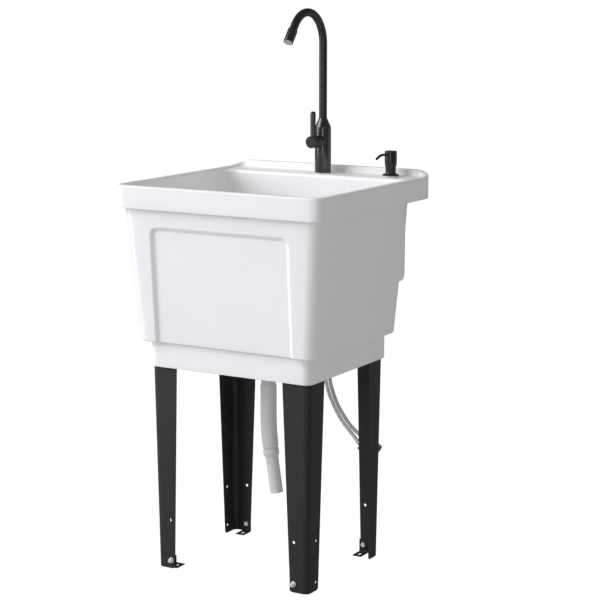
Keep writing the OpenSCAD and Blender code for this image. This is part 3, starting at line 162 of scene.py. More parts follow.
# a profile whose corners (x, y, r) become arcs of radius r, each at most a share of its sides long
def rounded(corners, steps=4, most=0.49):
    corners = [(c + (0,))[:3] for c in corners]
    line = []
    for i, (x, y, r) in enumerate(corners):
        here = np.array((x, y), float)
        if r == 0 or i in (0, len(corners) - 1):
            line.append(here)
            continue
        before = np.array(corners[i - 1][:2], float) - here
        after = np.array(corners[i + 1][:2], float) - here
        a, b = np.linalg.norm(before), np.linalg.norm(after)
        cosine = np.clip(before @ after / (a * b), -1, 1)
        cut = min(r / math.tan(math.acos(cosine) / 2), most * a, most * b)
        p, q = here + before / a * cut, here + after / b * cut
        for s in np.linspace(0, 1, steps + 1):
            line.append((1 - s) ** 2 * p + 2 * s * (1 - s) * here + s * s * q)
    return np.array(line)


# two directions across a line, carried along it without twist: each is the last one with its part
# along the line removed
def carried(path):
    along = np.gradient(path, axis=0)
    along /= np.linalg.norm(along, axis=1)[:, None]
    across = np.zeros_like(path)
    last = np.array((0.0, 1.0, 0.0))
    for i, t in enumerate(along):
        last = last - t * (last @ t)
        last = last / np.linalg.norm(last)
        across[i] = last
    return across, np.cross(along, across)


# a round tube along a line: u runs round it in two halves and v is its length in metres
def tubeAlong(path, radius, sides):
    path = np.asarray(path, float)
    across, up = carried(path)
    t = np.arange(sides) * 2 * math.pi / sides
    ring = np.cos(t)[None, :, None] * across[:, None] + np.sin(t)[None, :, None] * up[:, None]
    radius = np.broadcast_to(np.asarray(radius, float), (len(path),))
    grid = path[:, None] + radius[:, None, None] * ring
    run = np.concatenate([[0], np.cumsum(np.linalg.norm(np.diff(path, axis=0), axis=1))]) * mm
    half = np.minimum(t / math.pi, 2 - t / math.pi)
    uv = np.stack(np.broadcast_arrays(half[None, :], run[:, None]), -1)
    return grid.reshape(-1, 3), gridFaces(len(path), sides, False), uv.reshape(-1, 2)


# a smooth line through points: cubic pieces whose slopes are half the step between the neighbours
def smoothLine(points, perStep):
    p = np.asarray(points, float)
    ends = np.concatenate([[2 * p[0] - p[1]], p, [2 * p[-1] - p[-2]]])
    a, b, c, d = ends[:-3, None], ends[1:-2, None], ends[2:-1, None], ends[3:, None]
    t = (np.arange(perStep) / perStep)[None, :, None]
    square, cube = (2 * a - 5 * b + 4 * c - d) * t ** 2, (3 * b - a - 3 * c + d) * t ** 3
    line = 0.5 * (2 * b + (c - a) * t + square + cube)
    return np.concatenate([line.reshape(-1, 3), p[-1:]])


# a shader node with its inputs given: a socket is linked and a constant is written
def addNode(tree, kind, inputs, **values):
    node = tree.nodes.new(kind)
    for key, value in values.items():
        setattr(node, key, value)
    for key, value in inputs.items():
        if isinstance(value, bpy.types.NodeSocket):
            tree.links.new(value, node.inputs[key])
        else:
            node.inputs[key].default_value = value
    return node


# a node material: noise makes its tone, gloss and bump
class Finish:
    usualNoise = (0.3, 0.7)

    def __init__(self, name, colour, roughness, metallic, specular):
        self.material = bpy.data.materials.new(name)
        self.material.use_nodes = True
        self.material.diffuse_color = (*colour, 1)
        self.tree = self.material.node_tree
        self.inputs = self.tree.nodes["Principled BSDF"].inputs
        self.inputs["Base Color"].default_value = (*colour, 1)
        self.inputs["Roughness"].default_value = roughness
        self.inputs["Metallic"].default_value = metallic
        self.inputs["Specular IOR Level"].default_value = specular
        self.colour = colour
        self.normal = None

    def add(self, kind, inputs, **values):
        return addNode(self.tree, kind, inputs, **values)

    def noise(self, scale, detail, stretch=(1, 1, 1)):
        place = self.add("ShaderNodeTexCoord", {})
        mapping = self.add("ShaderNodeMapping", {
            "Vector": place.outputs["Object"], "Scale": stretch})
        texture = self.add("ShaderNodeTexNoise", {
            "Vector": mapping.outputs["Vector"], "Scale": scale, "Detail": detail})
        return texture.outputs["Fac"]

    # the range that a noise mostly keeps to, brought to low and high
    def spread(self, value, low, high):
        ranged = self.add("ShaderNodeMapRange", {
            "Value": value, "From Min": self.usualNoise[0], "From Max": self.usualNoise[1],
            "To Min": low, "To Max": high})
        return ranged.outputs["Result"]

    # colour between a darker and a lighter share of the finish's own
    def shade(self, value, low, high):
        mixed = self.add("ShaderNodeMix", {
            "A": (*[c * low for c in self.colour], 1),
            "B": (*[min(1, c * high) for c in self.colour], 1),
            "Factor": self.spread(value, 0, 1)}, data_type="RGBA")
        self.tree.links.new(mixed.outputs["Result"], self.inputs["Base Color"])

    def rough(self, value, low, high):
        self.tree.links.new(self.spread(value, low, high), self.inputs["Roughness"])

    def bump(self, value, strength, depth):
        inputs = {"Height": value, "Strength": strength, "Distance": depth}
        if self.normal:
            inputs["Normal"] = self.normal
        self.normal = self.add("ShaderNodeBump", inputs).outputs["Normal"]
        self.tree.links.new(self.normal, self.inputs["Normal"])


# each entry starts with its noise's scale and detail; tone goes on with the colour's darkest and
# lightest share, gloss with what it adds to the roughness, and a bump with strength and depth
finishKinds = {
    "moulded": {"tone": (5, 2, 0.985, 1.012), "gloss": (30, 3, -0.03, 0.04),
                "bumps": [(900, 2, 0.12, 0.00006), (14, 1, 0.12, 0.0006)]},
    "powder": {"tone": (40, 2, 0.94, 1.06), "gloss": (260, 3, -0.03, 0.04),
               "bumps": [(1700, 2, 0.35, 0.0001)]},
    "enamel": {"tone": (50, 1, 0.97, 1.03), "gloss": (900, 2, -0.015, 0.02),
               "bumps": [(3000, 1, 0.12, 0.00003)]},
    "turned": {"tone": (120, 3, 0.9, 1.06), "gloss": (400, 4, -0.06, 0.08),
               "bumps": [(700, 3, 0.2, 0.00004)], "stretch": (1, 1, 12)},
    "rubber": {"tone": (150, 2, 0.8, 1.2), "bumps": [(1400, 2, 0.3, 0.00008)]},
}
# kind, colour, roughness, metallic, specular
finishTable = {
    "whiteMoulding": ("moulded", (0.88, 0.88, 0.88), 0.36, 0, 0.5),
    "whiteFitting": ("moulded", (0.80, 0.80, 0.80), 0.4, 0, 0.5),
    "greyPipe": ("moulded", (0.84, 0.842, 0.845), 0.45, 0, 0.5),
    "milkyPlastic": ("moulded", (0.78, 0.79, 0.78), 0.3, 0, 0.5),
    "blackPlastic": ("moulded", (0.02, 0.02, 0.022), 0.5, 0, 0.5),
    "legPowderCoat": ("powder", (0.0225, 0.0233, 0.0229), 0.5, 0, 0.3),
    "tapMattBlack": ("enamel", (0.018, 0.019, 0.019), 0.24, 0, 0.85),
    "spoutMattBlack": ("enamel", (0.017, 0.018, 0.018), 0.25, 0, 0.45),
    "coneMattBlack": ("enamel", (0.018, 0.019, 0.019), 0.22, 0, 0.9),
    # the lever cap is a lighter copy of the tap's black: painted sheen for its brighter front disc
    "capBlackPaintedSheen": ("enamel", (0.028, 0.029, 0.029), 0.24, 0, 0.45),
    "zincPlate": ("turned", (0.86, 0.87, 0.88), 0.3, 0.45, 0.5),
    "polishedSteel": ("turned", (0.72, 0.72, 0.73), 0.2, 0.6, 0.5),
    "nickelPlate": ("turned", (0.66, 0.65, 0.62), 0.24, 1, 0.5),
    "turnedBrass": ("turned", (0.72, 0.55, 0.28), 0.3, 1, 0.5),
    "sealRubber": ("rubber", (0.03, 0.03, 0.031), 0.7, 0, 0.3),
    # the seal rings' light grey is painted shade: a real seal, coloured to stand in for the white
    # deck's contact shadow under the mixer's and the pump's feet
    "sealGreyForContactShade": ("rubber", (0.55, 0.55, 0.55), 0.5, 0, 0.3),
}
braidSet = {"colour": (0.82, 0.83, 0.84), "roughness": 0.42, "metallic": 0.35, "specular": 0.5,
            "strands": 12, "pitch": 0.016, "tone": (0.62, 1.1), "bump": (0.6, 0.0004)}


def noisyFinish(name, kind, colour, roughness, metallic, specular):
    values = finishKinds[kind]
    stretch = values.get("stretch", (1, 1, 1))
    finish = Finish(name, colour, roughness, metallic, specular)
    scale, detail, low, high = values["tone"]
    finish.shade(finish.noise(scale, detail), low, high)
    if "gloss" in values:
        scale, detail, low, high = values["gloss"]
        finish.rough(finish.noise(scale, detail, stretch), roughness + low, roughness + high)
    for scale, detail, strength, depth in values["bumps"]:
        finish.bump(finish.noise(scale, detail, stretch), strength, depth)
    return finish.material


# braid: two families of diagonal strands in the hose's own u (round, two halves) and v (length)
def wovenBraid(name):
    s = braidSet
    finish = Finish(name, s["colour"], s["roughness"], s["metallic"], s["specular"])
    place = finish.add("ShaderNodeTexCoord", {})
    parts = finish.add("ShaderNodeSeparateXYZ", {"Vector": place.outputs["UV"]})

    def combine(kind, *values):
        node = finish.add("ShaderNodeMath", dict(enumerate(values)), operation=kind)
        return node.outputs["Value"]

    around = combine("MULTIPLY", parts.outputs["X"], s["strands"] * math.pi)
    length = combine("MULTIPLY", parts.outputs["Y"], math.pi * s["strands"] / s["pitch"])
    one = combine("SINE", combine("ADD", around, length))
    two = combine("SINE", combine("SUBTRACT", around, length))
    level = combine("ADD", combine("MULTIPLY", combine("MAXIMUM", one, two), 0.25), 0.5)
    finish.shade(level, *s["tone"])
    finish.bump(level, *s["bump"])
    return finish.material


finishes = {name: noisyFinish(name, *values) for name, values in finishTable.items()}
finishes["hoseBraid"] = wovenBraid("hoseBraid")
nodesOfFinish = {
    "zincPlate": ("foot_bolts", "foot_nuts", "foot_washers", "set_screw"),
    "polishedSteel": ("outlet_insert", "strainer", "strainer_basket"),
    "sealRubber": ("drain_seal_ring", "slip_washer", "shank_washer_ring"),
    "whiteFitting": ("drain_locknut", "slip_nut", "tailpiece"),
    "tapMattBlack": ("lever_rod",),
    # the lever cap's lighter black is a painted sheen on its front disc
    "capBlackPaintedSheen": ("lever_cap",),
    "turnedBrass": ("mixer_stem", "shank", "shank_nut", "cartridge_ring"),
    "milkyPlastic": ("cartridge", "pump_barrel", "pump_stem", "suction_tube", "soap_bottle"),
    "blackPlastic": ("pump_nut",),
}
finishOfNode = {node: finish for finish, names in nodesOfFinish.items() for node in names}
for nodeName, node in nodes.items():
    node.data.materials.clear()
    node.data.materials.append(finishes[finishOfNode.get(nodeName, "legPowderCoat")])
print("finishes")

# supply hoses: the routes of the part's source, in millimetres like every shape here
hoseSet = {"size": 9.0, "sides": 20, "perStep": 5}
hoseRoutes = {
    "hot": [
        (-6, 212, 862), (-6, 212, 838), (-6, 212, 812), (-6, 212, 786), (-6, 212, 760),
        (-6, 212, 734), (-5, 211, 708), (-5, 211, 682), (-4, 210, 656), (-4, 209, 630),
        (-3, 208, 604), (-2, 207, 578), (0, 206, 552), (1, 206, 526), (3, 205, 500), (5, 204, 474),
        (7, 204, 448), (9, 203, 424), (12, 203, 400), (16, 203, 376), (23, 203, 352),
        (33, 203, 330), (44, 203, 310), (57, 203, 291), (72, 203, 274), (87, 203, 259),
        (102, 203, 244)],
    "cold": [
        (6, 212, 862), (6, 212, 838), (6, 212, 812), (6, 212, 786), (6, 212, 760), (6, 212, 734),
        (6, 213, 708), (7, 213, 682), (7, 213, 656), (8, 213, 630), (8, 214, 604), (9, 214, 578),
        (10, 214, 552), (11, 214, 526), (12, 214, 500), (13, 214, 474), (14, 214, 448),
        (16, 214, 424), (18, 214, 400), (21, 214, 376), (28, 214, 353), (37, 214, 332),
        (48, 214, 312), (62, 214, 293), (78, 214, 275), (95, 214, 261), (112, 214, 249),
        (129, 214, 240)],
}
fittingSet = {
    "sleeve": 5.5, "topSleeve": 21.8, "endSleeve": 12.0, "bevel": (0.3, 0.4), "sleeveSides": 40,
    "bandStarts": (0.22, 0.58), "bandShare": 0.2, "bandDepth": 0.35, "bandLead": 0.5,
    "gap": 12.1, "nutWidth": 23.0, "nutLength": 16.0, "nutFace": 11.2, "nutReach": 13.2,
    "chamfer": 1.4, "bore": 9.5, "boreDepth": 12.0, "core": 0.5, "nutSides": 72, "nutSharp": 25,
}


# a crimped sleeve: a tube with two pressed bands
def crimpedSleeve(length, base, axis):
    s = fittingSet
    inner, outer, (inward, onward) = hoseSet["size"] / 2, s["sleeve"], s["bevel"]
    pressed, lead, width = outer - s["bandDepth"], s["bandLead"], s["bandShare"] * length
    line = [(inner, 0), (outer - inward, 0), (outer, onward)]
    for start in s["bandStarts"]:
        z = start * length
        line += [(outer, z), (pressed, z + lead), (pressed, z + width), (outer, z + width + lead)]
    line += [(outer, length - onward), (outer - inward, length), (inner, length)]
    return turned(line, base, s["sleeveSides"], axis, closed=True)


s = fittingSet
top, floorOfBore, chamfer = s["nutLength"], s["nutLength"] - s["boreDepth"], s["chamfer"]
nutLine = rounded([
    (s["core"], 0), (s["nutFace"], 0, 0.2), (s["nutReach"], chamfer, 0.4),
    (s["nutReach"], top - chamfer, 0.4), (s["nutFace"], top, 0.2), (s["bore"], top, 0.4),
    (s["bore"], floorOfBore), (s["core"], floorOfBore)], 3)
for hoseName, route in hoseRoutes.items():
    line = smoothLine(route, hoseSet["perStep"])
    along = np.subtract(route[-1], route[-2]) / np.linalg.norm(np.subtract(route[-1], route[-2]))
    hose = makePiece(hoseName + "Hose", [tubeAlong(line, hoseSet["size"] / 2, hoseSet["sides"])],
                     "hoseBraid", "tub_frame", hoseName + "_hose")
    sleeves = makePiece(hoseName + "Sleeves", [
        crimpedSleeve(s["topSleeve"], line[0], (0, 0, 1)),
        crimpedSleeve(s["endSleeve"], line[-1], along)],
        "nickelPlate", "tub_frame", "hose_sleeves")
    nut = makePiece(hoseName + "Nut", [turned(
        nutLine, line[-1] + along * s["gap"], s["nutSides"], along, flats=s["nutWidth"])],
        "nickelPlate", "tub_frame", "hose_nuts", s["nutSharp"])

# the tub: rings of one rounded rectangle each, in the order of its section
tubShape = {
    "rimX": 264, "rimY": 259, "rimZ": 880, "rimRound": 3.2, "bandZ": 829, "footRound": 1.6,
    "corner": 30, "ledge": 14, "innerRound": 3.2, "innerCorner": 16,
    "deckZ": 877, "deckFall": 1.5, "edgeRound": 8,
    "lipRise": 13, "lipLead": 17, "lipRun": 18, "lipFoot": 1.6, "lipFootRise": 0.4,
    "lipRows": ((845, 0.1), (860, 0.4), (868, 0.75)), "lipFootRows": (0.72, 0.4, 0.16, 0.04),
    "bodyZ": 529, "bodyCorner": 29, "bodyFoot": 3, "wall": 5.5, "taperHeight": 300,
    "sideTop": 251.5, "sideTaper": 23.5, "frontTop": 246.5, "frontTaper": 20.5,
    "backTop": 189, "backTaper": 16.5, "coveWidth": 1.5, "coveHeight": 2.5,
    "bumpZ": 648, "bumpReach": 11, "bumpRound": 14, "bumpCorner": 21,
    "backCorner": 42, "bumpWidening": 115, "floorZ": 537, "floorFall": 4, "basinFoot": 22,
    "dishHalf": 50, "dishSlope": 10, "dishRise": 0.5, "dishCorner": 30,
    "drainY": -35, "drainHole": 23,
    "skirtZ": 470, "skirtX": 208, "skirtFront": -208, "skirtBack": 148, "skirtCorner": 20,
    "skirtWall": 3, "skirtCove": 1, "skirtInside": (529, 527, 509, 472.5),
    "skirtOutside": (482, 500, 520, 525),
    "panelHalf": 178.5, "panelTop": 792, "panelCorner": 22, "panelDepth": 7, "panelEdge": 11.5,
}
# points along a ring's straight sides, which keep their places where the ring is long enough, and
# are close together across the panel's edges; the rows' heights are too
fineX = np.arange(149, 185.01, 1.0)
ringSet = {
    "cornerSteps": 12, "leadSteps": 6, "sideY": np.linspace(-150, 90, 7), "sideRoom": 5,
    "sideInset": 0.08, "frontX": np.concatenate([-fineX[::-1], np.linspace(-135, 135, 19), fineX]),
    "frontRoom": 188, "frontSpan": 190, "backRoom": 155, "backSpan": 165,
    "backX": np.array([150, 110, 70, 30, -10, -50, -90, -130, -150.0]),
    "outerBelow": [*np.arange(540, 640, 9), 644, 647.99],
    "outerAbove": [
        *np.arange(668, 762, 6), *np.arange(764, 794, 1.2), 795, 798, 802, 807, 812, 817],
    "innerAbove": [856, 840, 824, 810, 803, *np.arange(799, 766, -1.4), *np.arange(758, 666, -6)],
    "innerBelow": [653.49, 650, *np.arange(645, 562, -9)],
}
rampUp = np.arange(1, ringSet["leadSteps"] + 1) / ringSet["leadSteps"]


# one ring: right side to the back, back corner and its ramps, back, and round by the left side to
# the front
def tubRing(half, front, back, radius, z, rise=0.0, backRadius=None):
    s, g = tubShape, ringSet
    turnR = backRadius or radius
    lead = min(s["lipLead"], (back - front - radius - turnR) / 3)
    run = min(s["lipRun"], (half - turnR) / 2)
    low, high = front + radius, back - turnR - lead
    sideY = g["sideY"]
    first, last = sideY[0], sideY[-1]
    if low >= first - g["sideRoom"] or high <= last + g["sideRoom"]:
        share = (sideY - first) / (last - first)
        sideY = low + (high - low) * (g["sideInset"] + (1 - 2 * g["sideInset"]) * share)
    reach, straight = half - turnR - run, half - radius
    backX = g["backX"] * (1 if reach > g["backRoom"] else reach / g["backSpan"])
    frontX = g["frontX"] * (1 if straight > g["frontRoom"] else straight / g["frontSpan"])
    turn = np.radians(90) * np.arange(g["cornerSteps"] + 1) / g["cornerSteps"]

    def corner(cx, cy, r, start):
        return np.stack([cx + r * np.cos(turn + start), cy + r * np.sin(turn + start)], -1)

    def level(x, y):
        return np.stack([x, np.full(len(x), y)], -1)

    rightY = np.concatenate([sideY, back - turnR - lead * rampUp[::-1]])
    rightSide = level(rightY, half)[:, ::-1]
    rightBack = level(half - turnR - run * rampUp, back)
    flip = np.array([-1, 1])
    outline = np.concatenate([
        rightSide, corner(half - turnR, back - turnR, turnR, 0), rightBack, level(backX, back),
        rightBack[::-1] * flip, corner(turnR - half, back - turnR, turnR, math.pi / 2),
        rightSide[::-1] * flip, corner(-straight, front + radius, radius, math.pi),
        level(frontX, front), corner(straight, front + radius, radius, 1.5 * math.pi)])
    return np.concatenate([outline, (z + rise * lipShares)[:, None]], -1)


# share of the back lip's rise along a ring: smooth step over the ramp, by its length
def lipShareList():
    s, g = tubShape, ringSet
    arcLength, steps = s["corner"] * math.pi / 2, g["cornerSteps"]
    total = s["lipLead"] + arcLength + s["lipRun"]
    gone = np.concatenate([
        s["lipLead"] * (rampUp - rampUp[0]),
        s["lipLead"] + arcLength * np.arange(steps + 1) / steps,
        s["lipLead"] + arcLength + s["lipRun"] * rampUp]) / total
    smooth = gone ** 2 * (3 - 2 * gone)
    side, front = np.zeros(len(g["sideY"])), np.zeros(2 * (steps + 1) + len(g["frontX"]))
    return np.concatenate([side, smooth, np.ones(len(g["backX"])), smooth[::-1], side, front])


lipShares = lipShareList()


# a wall's place at a height, by the body's taper below the rim's band
def tapered(z, top, taper):
    return tubShape[top] - tubShape[taper] * (tubShape["bandZ"] - z) / tubShape["taperHeight"]


def slopeAt(z):
    return tapered(z, "backTop", "backTaper") - tubShape["bumpReach"]


# back wall of the body or the basin at a height: its place and its corner radius, which widens
# above the bump's foot
def backAt(z, inset):
    s = tubShape
    radius = s["bumpRound"] - inset
    bottom, middle = s["bumpZ"] + inset, s["backTop"] - s["bumpRound"]
    if z < bottom:
        return slopeAt(z) - inset, s["bodyCorner"] - inset
    wide = min(1, (z - s["bumpZ"]) / s["bumpWidening"])
    corner = s["bumpCorner"] + (s["backCorner"] - s["bumpCorner"]) * wide - inset
    if z >= bottom + radius:
        return s["backTop"] - inset, corner
    return middle + math.sqrt(radius ** 2 - (bottom + radius - z) ** 2), corner


# pushes a ring's front in by the panel: smooth step of the distance inside a rounded rectangle
# that is open at the bottom
def dented(ring, grow):
    s = tubShape
    ring = ring.copy()
    end = len(ring) - ringSet["cornerSteps"] - 1
    front = slice(end - len(ringSet["frontX"]), end)
    r = s["panelCorner"] + grow
    q = np.abs(ring[front, 0]) - (s["panelHalf"] + grow - r)
    w = ring[front, 2] - (s["panelTop"] + grow - r)
    beyond = np.hypot(np.maximum(q, 0), np.maximum(w, 0))
    outside = beyond + np.minimum(np.maximum(q, w), 0) - r
    t = np.clip(-outside / s["panelEdge"], 0, 1)
    ring[front, 1] += s["panelDepth"] * t * t * (3 - 2 * t)
    return ring


def skirtRing(out, z):
    s = tubShape
    return tubRing(s["skirtX"] + out, s["skirtFront"] - out, s["skirtBack"] + out,
                   s["skirtCorner"] + out, z)


def rimRing(inset, z, corner, rise=0.0):
    s = tubShape
    return tubRing(s["rimX"] - inset, inset - s["rimY"], s["rimY"] - inset, corner, z, rise)


def bodyRing(inset, z, back, corner, backCorner=None):
    side, front = tapered(z, "sideTop", "sideTaper"), tapered(z, "frontTop", "frontTaper")
    return tubRing(side - inset, inset - front, back, corner, z, 0, backCorner)


# outer or inner wall at given heights
def wallRings(inset, levels):
    rings = []
    for z in levels:
        back, corner = backAt(z, inset)
        ring = bodyRing(inset, z, back, tubShape["bodyCorner"] - inset, corner)
        rings.append(dented(ring, inset))
    return rings


def circleRing(template, radius, z):
    centre = np.array([0, tubShape["drainY"]])
    away = template[:, :2] - centre
    away = away / np.linalg.norm(away, axis=1)[:, None] * radius
    return np.concatenate([centre + away, np.full((len(away), 1), z)], -1)


# 1 - cos and 1 - sin of the angles along an arc
def arc(steps, start=0.0, end=90.0):
    angles = np.radians(np.linspace(start, end, steps))
    return np.stack([1 - np.cos(angles), 1 - np.sin(angles)], -1)


def tubRows():
    s, g = tubShape, ringSet
    wall, half = s["wall"], s["skirtWall"] / 2
    rows = [skirtRing(-s["skirtWall"], z) for z in s["skirtInside"]]
    for c, n in arc(9, 0, 180):  # the skirt's half-round lower edge
        rows.append(skirtRing(half * c - s["skirtWall"], s["skirtZ"] + half * n))
    rows += [skirtRing(0, z) for z in s["skirtOutside"]]
    for c, n in arc(4) * s["skirtCove"]:  # a small cove where the skirt meets the body's underside
        rows.append(skirtRing(c, s["bodyZ"] - n))
    for c, n in arc(7) * s["bodyFoot"]:
        z = s["bodyZ"] + c
        rows.append(dented(bodyRing(n, z, slopeAt(z) - n, s["bodyCorner"]), 0))
    bump = s["bumpZ"] + s["bumpRound"] * arc(9)[:, 0]
    rows += wallRings(0, [*g["outerBelow"], *bump, *g["outerAbove"]])
    for c, n in arc(8):  # the cove that flares out under the rim
        out, z = s["coveWidth"] * c, s["bandZ"] - s["coveHeight"] * n
        rows.append(bodyRing(-out, z, s["backTop"], s["bodyCorner"] + out / 2,
                             s["backCorner"] + 2 * out))
    for c, n in arc(5) * s["footRound"]:
        rows.append(rimRing(n, s["bandZ"] + c, s["corner"] - n))
    rows += [rimRing(0, z, s["corner"], s["lipRise"] * up) for z, up in s["lipRows"]]
    for c, n in arc(8) * s["rimRound"]:
        rows.append(rimRing(c, s["rimZ"] - n, s["corner"] - c, s["lipRise"]))
    for c, n in arc(6, 90, 12) * s["innerRound"]:
        inset = s["ledge"] - c
        rows.append(rimRing(inset, s["rimZ"] - n, s["innerCorner"] + c, s["lipRise"]))
    for up in s["lipFootRows"]:  # the lip's inner face with a soft foot on the deck
        inset = s["ledge"] + s["lipFoot"] * (1 - up) ** 3
        rows.append(rimRing(inset, s["deckZ"] + s["lipFootRise"] * up, s["innerCorner"],
                            s["lipRise"] * up))
    for c, n in arc(9) * s["edgeRound"]:
        z = s["deckZ"] - s["deckFall"] - c
        rows.append(bodyRing(wall, z, s["backTop"] - wall + n, s["bodyCorner"] - wall,
                             s["backCorner"] - wall))
    bump = s["bumpZ"] + wall + (s["bumpRound"] - wall) * arc(8)[::-1, 0]
    rows += wallRings(wall, [*g["innerAbove"], *bump, *g["innerBelow"]])
    for c, n in arc(10) * s["basinFoot"]:
        z, inset = s["floorZ"] + n, wall + c
        rows.append(dented(bodyRing(inset, z, slopeAt(z) - inset, s["bodyCorner"] - wall), wall))
    drainZ = s["floorZ"] - s["floorFall"]
    for out, up in ((s["dishSlope"], s["dishRise"]), (0, 0)):
        size = s["dishHalf"] + out
        rows.append(tubRing(size, s["drainY"] - size, s["drainY"] + size, s["dishCorner"],
                            drainZ + up))
    rows.append(circleRing(rows[-1], s["drainHole"], drainZ))
    rows.append(circleRing(rows[-1], s["drainHole"], s["bodyZ"]))
    return np.stack(rows)


# a rounded rectangle raised to a block: outline of four quarter circles, drawn at two heights
def roundedBlock(low, high, radius, steps=10):
    turn = np.radians(90) * np.arange(steps + 1) / steps
    outline = []
    for start, (cx, cy) in enumerate(((high[0], high[1]), (low[0], high[1]), (low[0], low[1]),
                                      (high[0], low[1]))):
        inX, inY = (-1 if cx == high[0] else 1), (-1 if cy == high[1] else 1)
        a = turn + start * math.pi / 2
        outline.append(np.stack([cx + inX * radius + radius * np.cos(a),
                                 cy + inY * radius + radius * np.sin(a)], -1))
    outline = np.concatenate(outline)
    grid = [np.concatenate([outline, np.full((len(outline), 1), z)], -1) for z in (low[2], high[2])]
    return np.concatenate(grid), gridFaces(2, len(outline), False)


tubGrid = tubRows()
tub = makePiece("tubMoulding", [(tubGrid.reshape(-1, 3), gridFaces(*tubGrid.shape[:2], True))],
                "whiteMoulding", "tub_frame", "tub")
# the hollow under the deck, and the mixer's and the pump's holes as (x, y, width)
deckSet = {"low": (-259, 190, 820), "high": (259, 254, 871), "corner": 25,
           "holes": ((0, 212, 35), (178, 214, 25)), "holeHeights": (866, 882), "holeSides": 48}
s = deckSet
cutAway(tub, [roundedBlock(s["low"], s["high"], s["corner"])] + [
    turned([(size / 2, z) for z in s["holeHeights"]], (x, y, 0), s["holeSides"])
    for x, y, size in s["holes"]])
print("tub", len(tub.data.polygons), "faces")

# ribs inside the skirt's corners that hold the legs' flanges: rows are (side, place, gap)
socketSet = {"legX": 203.9, "rows": ((-1, 202.7, 3.8), (1, 135.3, 11.2)), "sideGap": 2.6,
             "foot": 476, "top": 531, "thick": 3, "inner": 2.3, "start": 14.3, "reach": 69.7}


def boxAt(low, high):
    corners = np.array([(x, y, z) for z in (low[2], high[2]) for y in (low[1], high[1])
                        for x in (low[0], high[0])], float)
    return corners, [
        [0, 1, 3, 2], [4, 6, 7, 5], [0, 4, 5, 1], [2, 3, 7, 6], [0, 2, 6, 4], [1, 5, 7, 3]]


s = socketSet
end, far = s["inner"] + s["thick"], s["reach"] + s["thick"]
ribs = []
for sideX in (-1, 1):
    for sideY, place, gap in s["rows"]:
        for low, high in (((-far, s["inner"]), (-s["start"], end)),
                          ((-end, s["start"]), (-s["inner"], far)),
                          ((-far, -gap), (-s["reach"], end)),
                          ((-end, s["reach"]), (s["sideGap"], far))):
            corners, faces = boxAt((*low, s["foot"]), (*high, s["top"]))
            corners[:, 0] = sideX * (s["legX"] + corners[:, 0])
            corners[:, 1] = sideY * (place - corners[:, 1])
            ribs.append((corners, faces))
makePiece("legSockets", ribs, "whiteMoulding", "tub_frame", "tub")
print("leg sockets")

# drain pipe: a straight run with a soft shoulder, a wide bend with a rounded lip at its end, the
# ringed coupling and the narrower outlet; profiles are (radius, height, corner radius)
pipeSet = {
    "y": -35, "top": 418, "straight": 68, "bend": 600, "turn": 8.9, "size": 37.2, "inner": 31.6,
    "shoulder": 3.2, "lip": 12.5, "lipLength": 7, "lipRound": 2.4, "sides": 48, "ringSides": 56,
    "shoulderRows": 6, "straightRows": 8, "bendRows": 18, "lipRows": 7,
    "coupling": [(15.2, -17), (15.2, -11.6, 0.4), (18.2, -10.6, 2.4), (18.5, -2, 4), (16.6, 5.5, 4),
                 (14.9, 7.6, 0.8), (14.9, 24, 0.3), (14.0, 24), (14.0, -17)],
    "outlet": [(12.6, 12.5), (14.0, 12.5), (14.0, 24), (14.7, 24.2, 0.3), (14.7, 91.9, 0.9),
               (12.6, 91.9, 0.6)],
}
s = pipeSet
bendTop = s["top"] - s["straight"]


# points of the pipe's bend and their headings, by the angles turned in degrees
def bendAt(turn):
    a, y = np.radians(turn), np.full_like(turn, pipeSet["y"])
    across, down = pipeSet["bend"] * (1 - np.cos(a)), bendTop - pipeSet["bend"] * np.sin(a)
    return np.stack([across, y, down], -1), np.stack([np.sin(a), np.zeros_like(a), -np.cos(a)], -1)


shoulder = np.radians(np.linspace(90, 0, s["shoulderRows"], endpoint=False))
lip = np.radians(np.linspace(0, 90, s["lipRows"]))
lipTurn = s["turn"] - np.degrees((s["lip"] + s["lipLength"] * (1 - np.sin(lip))) / s["bend"])
straightZ = np.concatenate([
    s["top"] - s["shoulder"] * (1 - np.sin(shoulder)),
    np.linspace(s["top"] - s["shoulder"], bendTop, s["straightRows"], endpoint=False)])
pipeLine = np.concatenate([
    np.stack([np.zeros(len(straightZ)), np.full(len(straightZ), s["y"]), straightZ], -1),
    bendAt(np.linspace(0, lipTurn[0], s["bendRows"], endpoint=False))[0], bendAt(lipTurn)[0]])
reach = np.full(len(pipeLine), s["size"] / 2)
reach[:len(shoulder)] -= s["shoulder"] * (1 - np.cos(shoulder))
reach[-len(lip):] -= s["lipRound"] * (1 - np.cos(lip))
outside, inside = (tubeAlong(pipeLine, radius, s["sides"])[0].reshape(-1, s["sides"], 3)
                   for radius in (reach, s["inner"] / 2))
pipeGrid = np.concatenate([outside, inside[::-1]])
makePiece("drainPipe", [(pipeGrid.reshape(-1, 3), gridFaces(*pipeGrid.shape[:2], True))],
          "greyPipe", "tub_frame", "drain_pipe")
ends, headings = bendAt(np.array([s["turn"]]))
for name, profile, node in (("drainCoupling", "coupling", "drain_coupling"),
                            ("drainOutlet", "outlet", "drain_outlet")):
    ring = turned(rounded(s[profile]), ends[0], s["ringSides"], headings[0], closed=True)
    makePiece(name, [ring], "greyPipe", "tub_frame", node)
print("drain pipe")

